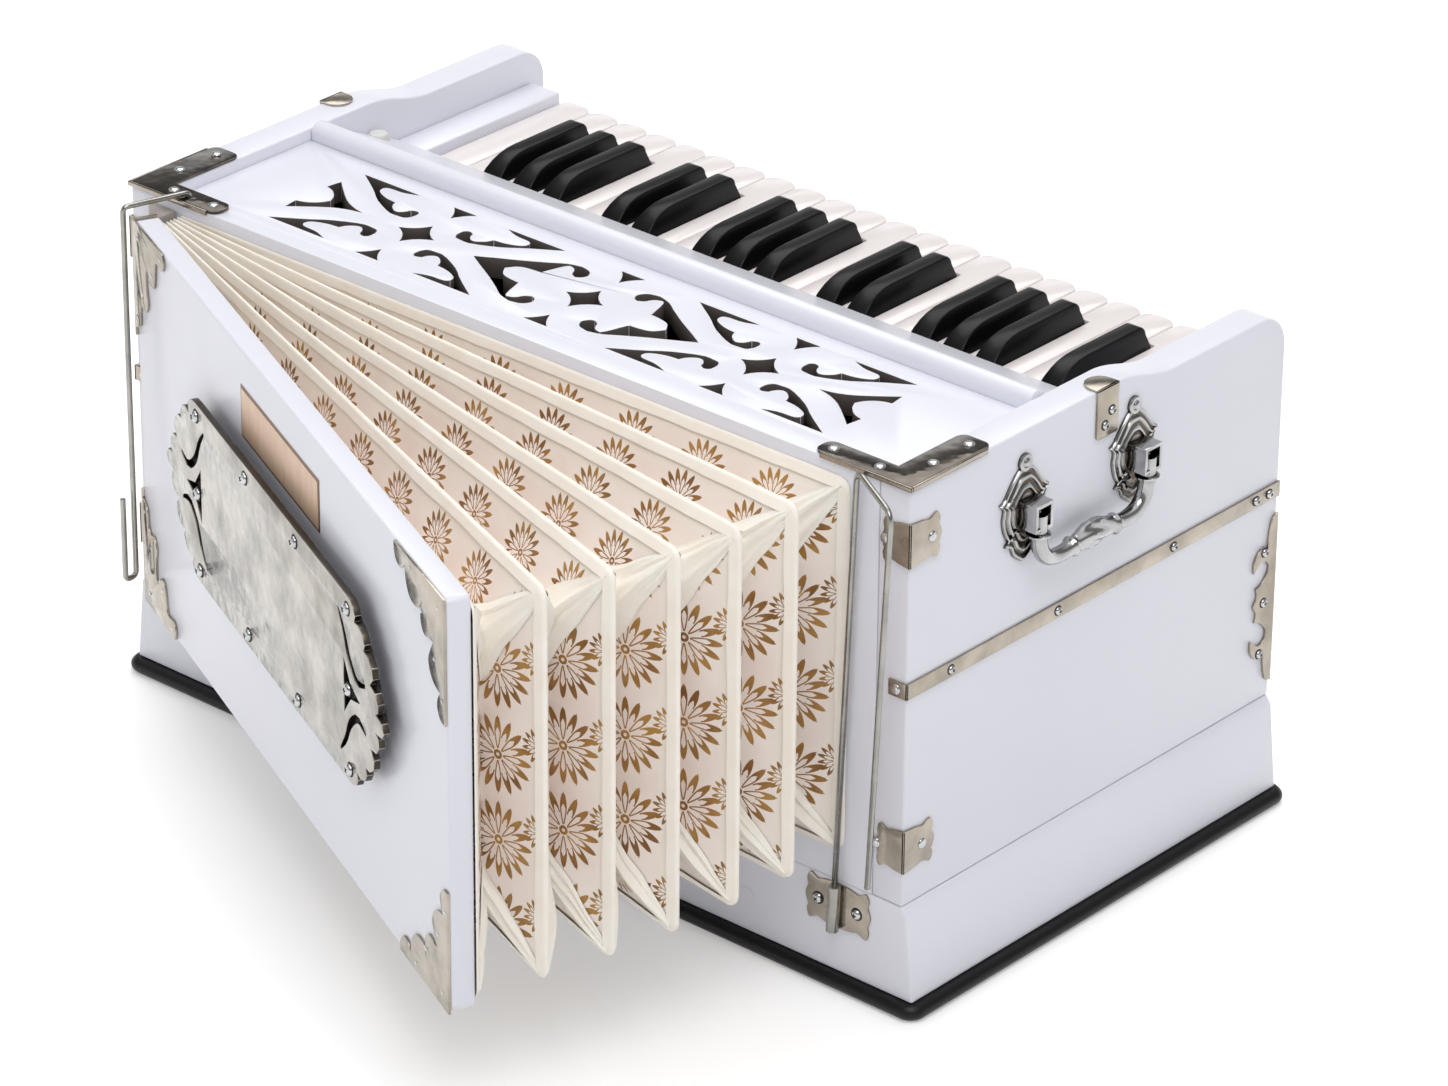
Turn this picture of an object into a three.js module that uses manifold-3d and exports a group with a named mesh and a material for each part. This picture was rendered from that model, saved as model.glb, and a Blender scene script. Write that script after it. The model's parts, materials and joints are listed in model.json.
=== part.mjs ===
// A portable hand-pumped reed organ (harmonium) standing with its fan bellows open.
// Millimetres, +Z up. The bellows side faces -Y, the player sits at +Y, the treble keys are at -X.
// The origin is on the floor under the middle of the case.

import * as THREE from 'three';
import { mergeVertices } from 'three/addons/utils/BufferGeometryUtils.js';
import Module from 'manifold-3d';

const wasm = await Module();
wasm.setup();

// Clearances
const TOUCH_GAP = 0.3; // between pieces that rest on each other
const WELD = 0.2; // how far a fitting sinks into the piece that it is fixed to
const OVERRUN = 4; // how far a cutting body runs past the face that it cuts

// Case
const CASE_LENGTH = 550;
const CASE_DEPTH = 308;
const CASE_TOP = 302;
const SIDE_THICKNESS = 20;
const FRONT_THICKNESS = 16;
const REAR_THICKNESS = 12;
const BASE_THICKNESS = 9;
const BASE_OVERHANG_X = 14;
const BASE_OVERHANG_Y = 6;
const BASE_CORNER = 10;
const BASE_EDGE_ROUND = 3;

// Cheeks, the raised tops of the side boards
const CHEEK_STEP_START_Y = 12;
const CHEEK_STEP_END_Y = 58;
const CHEEK_DROP = 9;
const CHEEK_CORNER = 20;

// Plinth, the frame that the case stands on. It is flush in front and flares out at the ends.
const PLINTH_HEIGHT = 54;
const PLINTH_BEVEL = 5;
const PLINTH_SHOULDER = 3;
const PLINTH_FLARE = 8;

// Fretwork panel
const PANEL_RECESS = 7;
const PANEL_THICKNESS = 12;
const FRET_PITCH_SHARE = 0.2395; // from star to star, of the panel's length
const FRET_OFFSET = -4; // the pattern lies this far off the panel's middle
const FRET_HALF_HEIGHT = 38.6;
const STAR_RADIUS_SHARE = 0.108; // of the pitch
const STAR_WAIST_SHARE = 0.28;
const DART_HALF_WIDTH_SHARE = 0.07; // of the pitch
const DART_HEIGHT = 12;
const CURVE_STEPS = 5;
const FITTING_STEPS = 2;

// Key rail, the moulding that covers the hinged ends of the keys
const RAIL_FRONT_Y = -36;
const RAIL_REAR_Y = 30;
const RAIL_WEB = 12;
const RAIL_NOSE_RISE = 10; // top of the nose above the fretwork panel
const RAIL_REAR_THICKNESS = 5;
const RAIL_FLOOR_THICKNESS = 11;
const RAIL_FLOOR_REACH = 6; // how far the floor runs past the balance ridge
const RAIL_HEADROOM = 2.6; // over the keys

// Keys
const WHITE_COUNT = 21;
const KEY_BLOCK_WIDTH = 22.15; // beside the keys at each end
const KEY_GAP = 0.5;
const KEY_DROP = 35; // top of the white keys under the top of the case
const KEY_THICKNESS = 12;
const KEY_TAIL_Y = -18;
const KEY_PIVOT_Y = 0;
const WHITE_END_Y = 141;
const WHITE_SCALLOP = 7;
const SCALLOP_STEPS = 8;
const BLACK_WIDTH_SHARE = 0.66; // of the pitch of the white keys
const BLACK_TOP_SHARE = 0.7; // a black key's top, of its width
const BLACK_HEIGHT = 12.5;
const BLACK_START_Y = 36;
const BLACK_SLOPE = 26;
const BLACK_SLOPE_PULL_SHARE = 0.33; // where the slope bends over
const BLACK_END_Y = 114;
const BLACK_END_LEAN = 3;
const BLACK_ROUND = 5;
const BLACK_CLEARANCE = 0.7;
const SLOT_PAST_BLACK = 2.5;
const BALANCE_RADIUS = 2.4;
const KEY_BED_CLEARANCE = 8;
const KEY_BED_THICKNESS = 10;
const KEY_BED_FRONT_Y = 34;
const BLOCK_RISE = 6; // end blocks above the white keys
const BLOCK_END_Y = 143;
const REED_BOARD_DROP = 27; // under the key bed
const REED_BOARD_THICKNESS = 14;
const REED_SLOT_WIDTH = 4;
const REED_SLOT_LENGTH = 42;
const REED_SLOT_Y = -78;
// From the treble end: each white key's letter, and the letters that a black key follows
const WHITE_LETTERS = 'CBAGFED';
const BLACK_AFTER = 'BAGED';

// Bellows and flap
const FLAP_END_INSET = 39.5; // closed flap's free end from the right end of the case
const FLAP_TOP_DROP = 3;
const FLAP_THICKNESS = 13;
const FLAP_BOTTOM = 68;
const FLAP_ROUND = 5;
const HINGE_INSET = 35.5; // hinge line from the left end of the case
const STACK_AT_HINGE = 15; // folded leather between case and flap at the hinge
const OPEN_ANGLE = THREE.MathUtils.degToRad(26);
const FOLD_COUNT = 5;
const BELLOWS_OVER_FLAP = 1; // ridges longer than the flap
const BELLOWS_BOTTOM_INSET = 5;
const BELLOWS_TOP_INSET = 5;
const PLEAT_DEPTH = 38;
const BELLOWS_WALL = 2.2;
const FOLD_GAP = 0.15; // half the gap between neighbouring folds

// Nameplate on the flap, left bare
const PLATE_HINGE_GAP = 79; // from the flap's hinge end
const PLATE_FREE_GAP = 61.5; // from its free end
const PLATE_RISE = 13.5; // its middle above the flap's middle
const PLATE_HEIGHT = 106;
const PLATE_THICKNESS = 11;
const PLATE_SLOT_WIDTH = 5;
const PLATE_SLOT_TAPER_SHARE = 0.1;

// Sheet-metal fittings
const SHEET = 1.4;
const CAP_ARM = 64;
const CAP_FRONT_WIDTH = 14;
const CAP_END_ROUND = 5;
const WRAP_HEIGHT = 25;
const WRAP_SIDE_REACH = 25;
const WRAP_FRONT_REACH = 19;
const UPPER_WRAP_DROP = 31.5; // middles of the wraps and the band
const LOWER_WRAP_RISE = 32.4;
const BAND_DROP = 113.5;
const BAND_HEIGHT = 9;
const BAND_FRONT_REACH = 11;
const KEEPER_WIDTH = 17.5;
const KEEPER_DROP = 27;
const KEEPER_Y = 1.4;
const REAR_BRACKET_HEIGHT = 101;
const REAR_BRACKET_WIDTH = 20;
const REAR_BRACKET_RISE = 59.9;
const FLAP_BRACKET = 69;

// Clips
const WIRE_RADIUS = 1.6;
const WIRE_BEND = 7;
const WIRE_SIDES = 8;
const WIRE_CLEARANCE = 0.4;
const CLIP_PLATE_WIDTH = 44;
const CLIP_PLATE_HEIGHT = 27;
const CLIP_PLATE_INSET = 41.5;
const CLIP_PLATE_Z = 49;
const CLIP_TUBE_WALL = 1.4;
const CLIP_LEAN = 10.5; // how far the rod's top leans to the right
const CLIP_TOP_RISE = 2; // right clip's bend over the top of the case
const CLIP_ARM = 40;
const CLIP_ARM_DROP = 6;
const CLIP_REST_ANGLE = THREE.MathUtils.degToRad(25);
const CLIP_LEG_END_Z = 82;
const LEFT_CLIP_INSET = 38;
const LEFT_CLIP_SETBACK = 7; // left clip's pin behind the front face
const LEFT_CLIP_REST_ANGLE = THREE.MathUtils.degToRad(72);
const LEFT_CLIP_RISE = 3.6;
const LEFT_CLIP_PIN = 14;
const LEFT_CLIP_END_Z = 83.6;
const LEFT_CLIP_RETURN = 50;
const LEFT_CLIP_RETURN_WIDTH = 8;

// Handles
const HANDLE_Y = -20.5;
const HANDLE_DROP = 44;
const HANDLE_HALF_SPAN = 44.5;
const HANDLE_STANDOFF = 15; // pivot from the side of the case
const ROSETTE_WIDTH = 38;
const ROSETTE_HEIGHT = 58;
const ROSETTE_THICKNESS = 2.4;
const ROSETTE_DOME_RADIUS = 12;
const ROSETTE_DOME_RISE = 4;
const BOSS_WIDTH = 15;
const BOSS_HEIGHT = 13;
const BOSS_REACH = 20;
const BAIL_EYE_RADIUS = 4.4;
const BAIL_EYE_WIDTH = 7;
const EYE_CLEARANCE = 0.7;
const BAIL_DROP = 33;
const BAIL_RADIUS = 4.2;
const BAIL_CENTRE_RADIUS = 7.6;
const BAIL_CENTRE_SHARE = 0.09; // of the bail's length
const BAIL_NECK_SHARE = 0.125;
const BAIL_STEPS = 32;
const PIVOT_PIN_RADIUS = 2;
const PIVOT_CLEARANCE = 0.4;

// Places worked out from the sizes above
function blackAfter(index) {
  const letter = WHITE_LETTERS[index % WHITE_LETTERS.length];
  return index >= 0 && index + 1 < WHITE_COUNT && BLACK_AFTER.includes(letter);
}
const BLACK_COUNT = [...Array(WHITE_COUNT).keys()].filter(blackAfter).length;
const HALF_LENGTH = CASE_LENGTH / 2;
const HALF_DEPTH = CASE_DEPTH / 2;
const PLINTH_BOTTOM = BASE_THICKNESS + TOUCH_GAP;
const PLINTH_TOP = PLINTH_BOTTOM + PLINTH_HEIGHT;
const CASE_BOTTOM = PLINTH_TOP + TOUCH_GAP;
const INNER_HALF = HALF_LENGTH - SIDE_THICKNESS;
const INNER_FIT = INNER_HALF - TOUCH_GAP;
const FRONT_INSIDE_Y = -HALF_DEPTH + FRONT_THICKNESS;
const CAP_UNDERSIDE = CASE_TOP - WELD;
const FRONT_TOP = CAP_UNDERSIDE - TOUCH_GAP;
const PANEL_TOP = CASE_TOP - PANEL_RECESS;
const PANEL_FRONT_Y = FRONT_INSIDE_Y + TOUCH_GAP;
const PANEL_REAR_Y = RAIL_FRONT_Y - TOUCH_GAP;
const FRET_PITCH = INNER_FIT * 2 * FRET_PITCH_SHARE;
const STAR_RADIUS = FRET_PITCH * STAR_RADIUS_SHARE;
const DART_HALF_WIDTH = FRET_PITCH * DART_HALF_WIDTH_SHARE;
const KEY_TOP = CASE_TOP - KEY_DROP;
const KEY_BOTTOM = KEY_TOP - KEY_THICKNESS;
const KEY_BED_TOP = KEY_BOTTOM - KEY_BED_CLEARANCE;
const KEY_BED_BOTTOM = KEY_BED_TOP - KEY_BED_THICKNESS;
const REED_BOARD_TOP = KEY_BED_BOTTOM - REED_BOARD_DROP;
const KEYS_END = INNER_FIT - KEY_BLOCK_WIDTH;
const KEYBOARD_LENGTH = (KEYS_END - KEY_GAP) * 2;
const KEY_PITCH = KEYBOARD_LENGTH / WHITE_COUNT;
const BLACK_WIDTH = KEY_PITCH * BLACK_WIDTH_SHARE;
const REED_COUNT = WHITE_COUNT + BLACK_COUNT;
const UPPER_WRAP_Z = CASE_TOP - UPPER_WRAP_DROP;
const LOWER_WRAP_Z = CASE_BOTTOM + LOWER_WRAP_RISE;
const BAND_Z = CASE_TOP - BAND_DROP;
const REAR_BRACKET_Z = CASE_BOTTOM + REAR_BRACKET_RISE;
const HANDLE_AXIS_Z = CASE_TOP - HANDLE_DROP;
const CLIP_PLATE_X = HALF_LENGTH - CLIP_PLATE_INSET;
const LEFT_CLIP_X = -HALF_LENGTH + LEFT_CLIP_INSET;
const HINGE_X = -HALF_LENGTH + HINGE_INSET;
const FLAP_LENGTH = CASE_LENGTH - HINGE_INSET - FLAP_END_INSET;
const FLAP_HEIGHT = CASE_TOP - FLAP_TOP_DROP - FLAP_BOTTOM;
const PLATE_LENGTH = FLAP_LENGTH - PLATE_HINGE_GAP - PLATE_FREE_GAP;
const CLIP_HEAD_Z = CASE_TOP + CLIP_TOP_RISE;
const CLIP_ROD_Y = -HALF_DEPTH - SHEET + WELD - WIRE_RADIUS - WIRE_CLEARANCE - CLIP_TUBE_WALL;
const CLIP_LEAN_ANGLE = Math.atan2(CLIP_LEAN, CLIP_HEAD_Z - CLIP_PLATE_Z);
const BELLOWS_LENGTH = FLAP_LENGTH + BELLOWS_OVER_FLAP;
const BELLOWS_BOTTOM = FLAP_BOTTOM + BELLOWS_BOTTOM_INSET;
const BELLOWS_TOP = FLAP_BOTTOM + FLAP_HEIGHT - BELLOWS_TOP_INSET;

// Colours
const WHITE_PAINT = { color: 0xe4e7f6, roughness: 0.35, metalness: 0 };
const BLACK_PAINT = { color: 0x0b0b0c, roughness: 0.5, metalness: 0 };
const BARE_WOOD = { color: 0x9a7750, roughness: 0.7, metalness: 0 };
const WHITE_KEY = { color: 0xf3ebe9, roughness: 0.25, metalness: 0 };
const BLACK_KEY = { color: 0x101112, roughness: 0.2, metalness: 0 };
const BELLOWS_CLOTH = { color: 0xeadfcb, roughness: 0.8, metalness: 0 };
const STEEL = { color: 0xb9b4a8, roughness: 0.3, metalness: 1 };
const CHROME = { color: 0xc9cccf, roughness: 0.12, metalness: 1 };

// Shape directions: where a drawing's right, up and thickness point in the model
const FLOOR_PLAN = new THREE.Matrix4();
const ON_FRONT = new THREE.Matrix4().makeRotationX(Math.PI / 2);
const ON_RIGHT = new THREE.Matrix4().makeBasis(
  new THREE.Vector3(0, 1, 0), new THREE.Vector3(0, 0, 1), new THREE.Vector3(1, 0, 0),
);

function solidOf(geometry) {
  const bare = geometry.clone();
  bare.deleteAttribute('normal');
  bare.deleteAttribute('uv');
  const merged = mergeVertices(bare);
  const index = merged.index ? merged.index.array : merged.attributes.position.array.map((_, i) => i);
  return new wasm.Manifold(new wasm.Mesh({
    numProp: 3,
    vertProperties: new Float32Array(merged.attributes.position.array),
    triVerts: new Uint32Array(index),
  }));
}

function geometryOf(solid) {
  const mesh = solid.getMesh();
  const geometry = new THREE.BufferGeometry();
  geometry.setAttribute('position', new THREE.BufferAttribute(mesh.vertProperties, 3));
  geometry.setIndex(new THREE.BufferAttribute(mesh.triVerts, 1));
  return geometry;
}

function join(first, ...others) {
  return geometryOf(others.reduce((sum, other) => sum.add(solidOf(other)), solidOf(first)));
}

function cut(first, ...others) {
  return geometryOf(others.reduce((rest, other) => rest.subtract(solidOf(other)), solidOf(first)));
}

// A drawing given thickness, turned by the matrix and then moved.
function slab(shape, thickness, turn = FLOOR_PLAN, x = 0, y = 0, z = 0, curveSegments = CURVE_STEPS) {
  const geometry = new THREE.ExtrudeGeometry(shape, { depth: thickness, bevelEnabled: false, curveSegments });
  geometry.applyMatrix4(turn);
  geometry.translate(x, y, z);
  return geometry;
}

function box(x0, x1, y0, y1, z0, z1) {
  const geometry = new THREE.BoxGeometry(x1 - x0, y1 - y0, z1 - z0);
  geometry.translate((x0 + x1) / 2, (y0 + y1) / 2, (z0 + z1) / 2);
  return geometry;
}

function polygon(points) {
  return new THREE.Shape(points.map(([x, y]) => new THREE.Vector2(x, y)));
}

// A closed outline made of runs. A run of two points is straight and a longer one is a smooth curve.
function outlineOf(runs, scaleX, scaleY, steps = CURVE_STEPS) {
  const points = [];
  for (const run of runs) {
    const corners = run.map(([x, y]) => new THREE.Vector2(x * scaleX, y * scaleY));
    const curve = new THREE.SplineCurve(corners);
    const count = corners.length > 2 ? steps * Math.ceil((corners.length - 1) / 2) : 1;
    points.push(...curve.getPoints(count).slice(0, -1));
  }
  return points;
}

function mirrored(points, mirrorX, mirrorY) {
  const moved = points.map((p) => new THREE.Vector2(p.x * mirrorX, p.y * mirrorY));
  return mirrorX * mirrorY < 0 ? moved.reverse() : moved;
}

function shifted(points, x, y) {
  return points.map((p) => new THREE.Vector2(p.x + x, p.y + y));
}

function roundedRectangle(x0, x1, y0, y1, radius) {
  const shape = new THREE.Shape();
  shape.moveTo(x0 + radius, y0);
  shape.lineTo(x1 - radius, y0);
  shape.absarc(x1 - radius, y0 + radius, radius, -Math.PI / 2, 0);
  shape.lineTo(x1, y1 - radius);
  shape.absarc(x1 - radius, y1 - radius, radius, 0, Math.PI / 2);
  shape.lineTo(x0 + radius, y1);
  shape.absarc(x0 + radius, y1 - radius, radius, Math.PI / 2, Math.PI);
  shape.lineTo(x0, y0 + radius);
  shape.absarc(x0 + radius, y0 + radius, radius, Math.PI, Math.PI * 1.5);
  return shape;
}

// A closed skin over rings of equal point counts. The first and last ring are capped.
function loft(rings) {
  const count = rings[0].length;
  const positions = rings.flat().flatMap((p) => [p.x, p.y, p.z]);
  const indices = [];
  for (let ring = 0; ring + 1 < rings.length; ring += 1) {
    for (let i = 0; i < count; i += 1) {
      const a = ring * count + i;
      const b = ring * count + ((i + 1) % count);
      indices.push(a, b, b + count, a, b + count, a + count);
    }
  }
  const last = (rings.length - 1) * count;
  for (let i = 1; i + 1 < count; i += 1) {
    indices.push(0, i + 1, i, last, last + i, last + i + 1);
  }
  const geometry = new THREE.BufferGeometry();
  geometry.setAttribute('position', new THREE.Float32BufferAttribute(positions, 3));
  geometry.setIndex(indices);
  return geometry;
}

// A round bar along a curve. Its radius may change along the way.
function bar(curve, steps, sides, radiusAt) {
  const frames = curve.computeFrenetFrames(steps, false);
  const rings = [];
  for (let step = 0; step <= steps; step += 1) {
    const t = step / steps;
    const centre = curve.getPointAt(t);
    const ring = [];
    for (let side = 0; side < sides; side += 1) {
      const angle = (side / sides) * Math.PI * 2;
      const across = frames.normals[step].clone().multiplyScalar(Math.cos(angle) * radiusAt(t));
      const over = frames.binormals[step].clone().multiplyScalar(Math.sin(angle) * radiusAt(t));
      ring.push(centre.clone().add(across).add(over));
    }
    rings.push(ring);
  }
  return loft(rings);
}

// A wire through corner points, with every inner corner bent to a radius.
function wirePath(corners, bend) {
  const path = new THREE.CurvePath();
  let from = corners[0];
  for (let i = 1; i + 1 < corners.length; i += 1) {
    const back = corners[i - 1].clone().sub(corners[i]).normalize().multiplyScalar(bend);
    const ahead = corners[i + 1].clone().sub(corners[i]).normalize().multiplyScalar(bend);
    const enter = corners[i].clone().add(back);
    const leave = corners[i].clone().add(ahead);
    path.add(new THREE.LineCurve3(from, enter));
    path.add(new THREE.QuadraticBezierCurve3(enter, corners[i], leave));
    from = leave;
  }
  path.add(new THREE.LineCurve3(from, corners[corners.length - 1]));
  return path;
}

// Rings only where the wire bends, so straight runs stay light.
function wire(corners, bend) {
  const path = wirePath(corners, bend);
  const rings = [];
  const points = [];
  for (const piece of path.curves) {
    const count = piece.isLineCurve3 ? 1 : CURVE_STEPS;
    for (let i = 0; i < count; i += 1) points.push(piece.getPoint(i / count));
  }
  points.push(corners[corners.length - 1]);
  let side = new THREE.Vector3(1, 0, 0);
  for (let i = 0; i < points.length; i += 1) {
    const before = points[Math.max(i - 1, 0)];
    const after = points[Math.min(i + 1, points.length - 1)];
    const along = after.clone().sub(before).normalize();
    if (Math.abs(side.dot(along)) > 1 - Number.EPSILON) side = new THREE.Vector3(0, 1, 0);
    const over = new THREE.Vector3().crossVectors(along, side).normalize();
    side = new THREE.Vector3().crossVectors(over, along).normalize();
    const ring = [];
    for (let k = 0; k < WIRE_SIDES; k += 1) {
      const angle = (k / WIRE_SIDES) * Math.PI * 2;
      const offset = side.clone().multiplyScalar(Math.cos(angle) * WIRE_RADIUS);
      offset.add(over.clone().multiplyScalar(Math.sin(angle) * WIRE_RADIUS));
      ring.push(points[i].clone().add(offset));
    }
    rings.push(ring);
  }
  return loft(rings);
}

const harmonium = new THREE.Group();

function addPiece(name, geometry, finish, parent = harmonium) {
  const mesh = new THREE.Mesh(geometry, new THREE.MeshStandardMaterial(finish));
  mesh.name = name;
  parent.add(mesh);
  return mesh;
}

// Base board
{
  const halfX = HALF_LENGTH + BASE_OVERHANG_X;
  const halfY = HALF_DEPTH + BASE_OVERHANG_Y;
  const inset = BASE_EDGE_ROUND;
  const rings = [
    [inset, 0], [0, inset], [0, BASE_THICKNESS - inset], [inset, BASE_THICKNESS],
  ].map(([shrink, z]) => roundedRectangle(
    -halfX + shrink, halfX - shrink, -halfY + shrink, halfY - shrink, BASE_CORNER - shrink,
  ).getPoints(CURVE_STEPS).slice(0, -1).map((p) => new THREE.Vector3(p.x, p.y, z)));
  addPiece('base_board', loft(rings), BLACK_PAINT);
}

// Fitting outlines, as shares of each fitting's reach and height
const EAR_OUTLINE_SHARES = [
  [[0, -0.5], [0.4, -0.46], [0.62, -0.42], [0.86, -0.5], [0.94, -0.34], [0.9, -0.22]],
  [[0.9, -0.22], [0.99, 0], [0.9, 0.22]],
  [[0.9, 0.22], [0.94, 0.36], [0.84, 0.5], [0.62, 0.42], [0.4, 0.46], [0, 0.5]],
  [[0, 0.5], [0, -0.5]],
];
const REAR_BRACKET_SHARES = [
  [[1, -0.5], [0.75, -0.48], [0.62, -0.38], [0.6, -0.3]],
  [[0.6, -0.3], [0.3, -0.33], [0.02, -0.27], [0.02, -0.2]],
  [[0.02, -0.2], [0.35, -0.25], [0.6, -0.23], [0.66, -0.18], [0.4, -0.12], [0.14, -0.1]],
  [[0.14, -0.1], [0.2, -0.05], [0.06, 0], [0.2, 0.05], [0.14, 0.1]],
  [[0.14, 0.1], [0.4, 0.12], [0.66, 0.18], [0.6, 0.23], [0.35, 0.25], [0.02, 0.2]],
  [[0.02, 0.2], [0.02, 0.27], [0.3, 0.33], [0.6, 0.3]],
  [[0.6, 0.3], [0.62, 0.38], [0.75, 0.48], [1, 0.5]],
  [[1, 0.5], [1, -0.5]],
];

function earPlate(reach, height) {
  return outlineOf(EAR_OUTLINE_SHARES, reach, height, FITTING_STEPS);
}

// The fittings on the right-hand side board, welded to one solid with it.
function sideFittings() {
  const skin = HALF_LENGTH - WELD;
  const frontSkin = -HALF_DEPTH + WELD;
  const depth = SHEET + WELD;
  const outerX = HALF_LENGTH + SHEET;
  const pieces = [];
  const cap = new THREE.Shape();
  const armEnd = -HALF_DEPTH + CAP_ARM;
  const capEnd = HALF_LENGTH - CAP_ARM;
  cap.moveTo(HALF_LENGTH, -HALF_DEPTH);
  cap.lineTo(HALF_LENGTH, armEnd);
  cap.quadraticCurveTo(INNER_HALF + CAP_END_ROUND, armEnd + CAP_END_ROUND, INNER_HALF, armEnd - CAP_END_ROUND);
  cap.lineTo(INNER_HALF, -HALF_DEPTH + CAP_FRONT_WIDTH);
  cap.lineTo(capEnd, -HALF_DEPTH + CAP_FRONT_WIDTH);
  cap.lineTo(capEnd - CAP_END_ROUND, -HALF_DEPTH);
  pieces.push(slab(cap, depth, FLOOR_PLAN, 0, 0, CAP_UNDERSIDE));
  for (const z of [UPPER_WRAP_Z, LOWER_WRAP_Z]) {
    const side = new THREE.Shape(earPlate(WRAP_SIDE_REACH, WRAP_HEIGHT));
    pieces.push(slab(side, depth, ON_RIGHT, skin, -HALF_DEPTH - SHEET, z));
    const front = new THREE.Shape(mirrored(earPlate(WRAP_FRONT_REACH, WRAP_HEIGHT), -1, 1));
    pieces.push(slab(front, depth, ON_FRONT, outerX, frontSkin, z));
  }
  const bandBottom = BAND_Z - BAND_HEIGHT / 2;
  const bandTop = BAND_Z + BAND_HEIGHT / 2;
  pieces.push(box(skin, outerX, -HALF_DEPTH - SHEET, HALF_DEPTH, bandBottom, bandTop));
  pieces.push(box(
    HALF_LENGTH - BAND_FRONT_REACH, outerX, -HALF_DEPTH - SHEET, frontSkin, bandBottom, bandTop,
  ));
  const keeperY0 = KEEPER_Y - KEEPER_WIDTH / 2;
  const keeperY1 = KEEPER_Y + KEEPER_WIDTH / 2;
  pieces.push(box(skin, outerX, keeperY0, keeperY1, CASE_TOP - KEEPER_DROP, CASE_TOP + SHEET));
  pieces.push(box(INNER_HALF, outerX, keeperY0, keeperY1, CAP_UNDERSIDE, CASE_TOP + SHEET));
  const bracket = outlineOf(
    REAR_BRACKET_SHARES, REAR_BRACKET_WIDTH, REAR_BRACKET_HEIGHT, FITTING_STEPS,
  );
  pieces.push(slab(
    new THREE.Shape(bracket), depth, ON_RIGHT, skin, HALF_DEPTH - REAR_BRACKET_WIDTH, REAR_BRACKET_Z,
  ));
  return pieces;
}

function sideBoard() {
  const outline = new THREE.Shape();
  const rearTop = CASE_TOP - CHEEK_DROP;
  const stepMiddle = (CHEEK_STEP_START_Y + CHEEK_STEP_END_Y) / 2;
  outline.moveTo(-HALF_DEPTH, CASE_BOTTOM);
  outline.lineTo(HALF_DEPTH, CASE_BOTTOM);
  outline.lineTo(HALF_DEPTH, rearTop - CHEEK_CORNER);
  outline.absarc(HALF_DEPTH - CHEEK_CORNER, rearTop - CHEEK_CORNER, CHEEK_CORNER, 0, Math.PI / 2);
  outline.lineTo(CHEEK_STEP_END_Y, rearTop);
  outline.bezierCurveTo(stepMiddle, rearTop, stepMiddle, CASE_TOP, CHEEK_STEP_START_Y, CASE_TOP);
  outline.lineTo(-HALF_DEPTH, CASE_TOP);
  return slab(outline, SIDE_THICKNESS, ON_RIGHT, INNER_HALF, 0, 0, CURVE_STEPS + CURVE_STEPS);
}

// The left side board is the right one seen in a mirror.
function mirroredInX(geometry) {
  const copy = geometry.clone();
  copy.scale(-1, 1, 1);
  const index = copy.index.array;
  for (let i = 0; i < index.length; i += 3) {
    const swap = index[i];
    index[i] = index[i + 1];
    index[i + 1] = swap;
  }
  return copy;
}

function pinHole() {
  const reach = LEFT_CLIP_PIN + LEFT_CLIP_RISE + OVERRUN;
  const hole = new THREE.CylinderGeometry(
    WIRE_RADIUS + WIRE_CLEARANCE, WIRE_RADIUS + WIRE_CLEARANCE, reach, WIRE_SIDES + WIRE_SIDES,
  );
  hole.rotateX(Math.PI / 2);
  const bottom = CASE_TOP + LEFT_CLIP_RISE - LEFT_CLIP_PIN - WIRE_CLEARANCE;
  hole.translate(LEFT_CLIP_X, -HALF_DEPTH + LEFT_CLIP_SETBACK, bottom + reach / 2);
  return hole;
}

{
  const right = join(sideBoard(), ...sideFittings());
  addPiece('side_right', right, WHITE_PAINT);
  addPiece('side_left', cut(mirroredInX(right), pinHole()), WHITE_PAINT);
}

// Bellows board, the front of the case
addPiece('bellows_board', cut(
  box(-INNER_FIT, INNER_FIT, -HALF_DEPTH, FRONT_INSIDE_Y, CASE_BOTTOM, FRONT_TOP), pinHole(),
), WHITE_PAINT);

// Player's board with the key bed on top of it. The bed carries the blocks beside the keys.
{
  const inside = HALF_DEPTH - REAR_THICKNESS;
  addPiece('player_board', box(
    -INNER_FIT, INNER_FIT, inside, HALF_DEPTH, CASE_BOTTOM, KEY_BED_BOTTOM - TOUCH_GAP,
  ), WHITE_PAINT);
  const bed = box(-INNER_FIT, INNER_FIT, KEY_BED_FRONT_Y, HALF_DEPTH, KEY_BED_BOTTOM, KEY_BED_TOP);
  const blockFront = RAIL_REAR_Y + TOUCH_GAP;
  const blocks = [[-INNER_FIT, -KEYS_END], [KEYS_END, INNER_FIT]].map(
    ([x0, x1]) => box(x0, x1, blockFront, BLOCK_END_Y, KEY_BED_BOTTOM, KEY_TOP + BLOCK_RISE),
  );
  addPiece('key_bed', join(bed, ...blocks), WHITE_PAINT);
}

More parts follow.
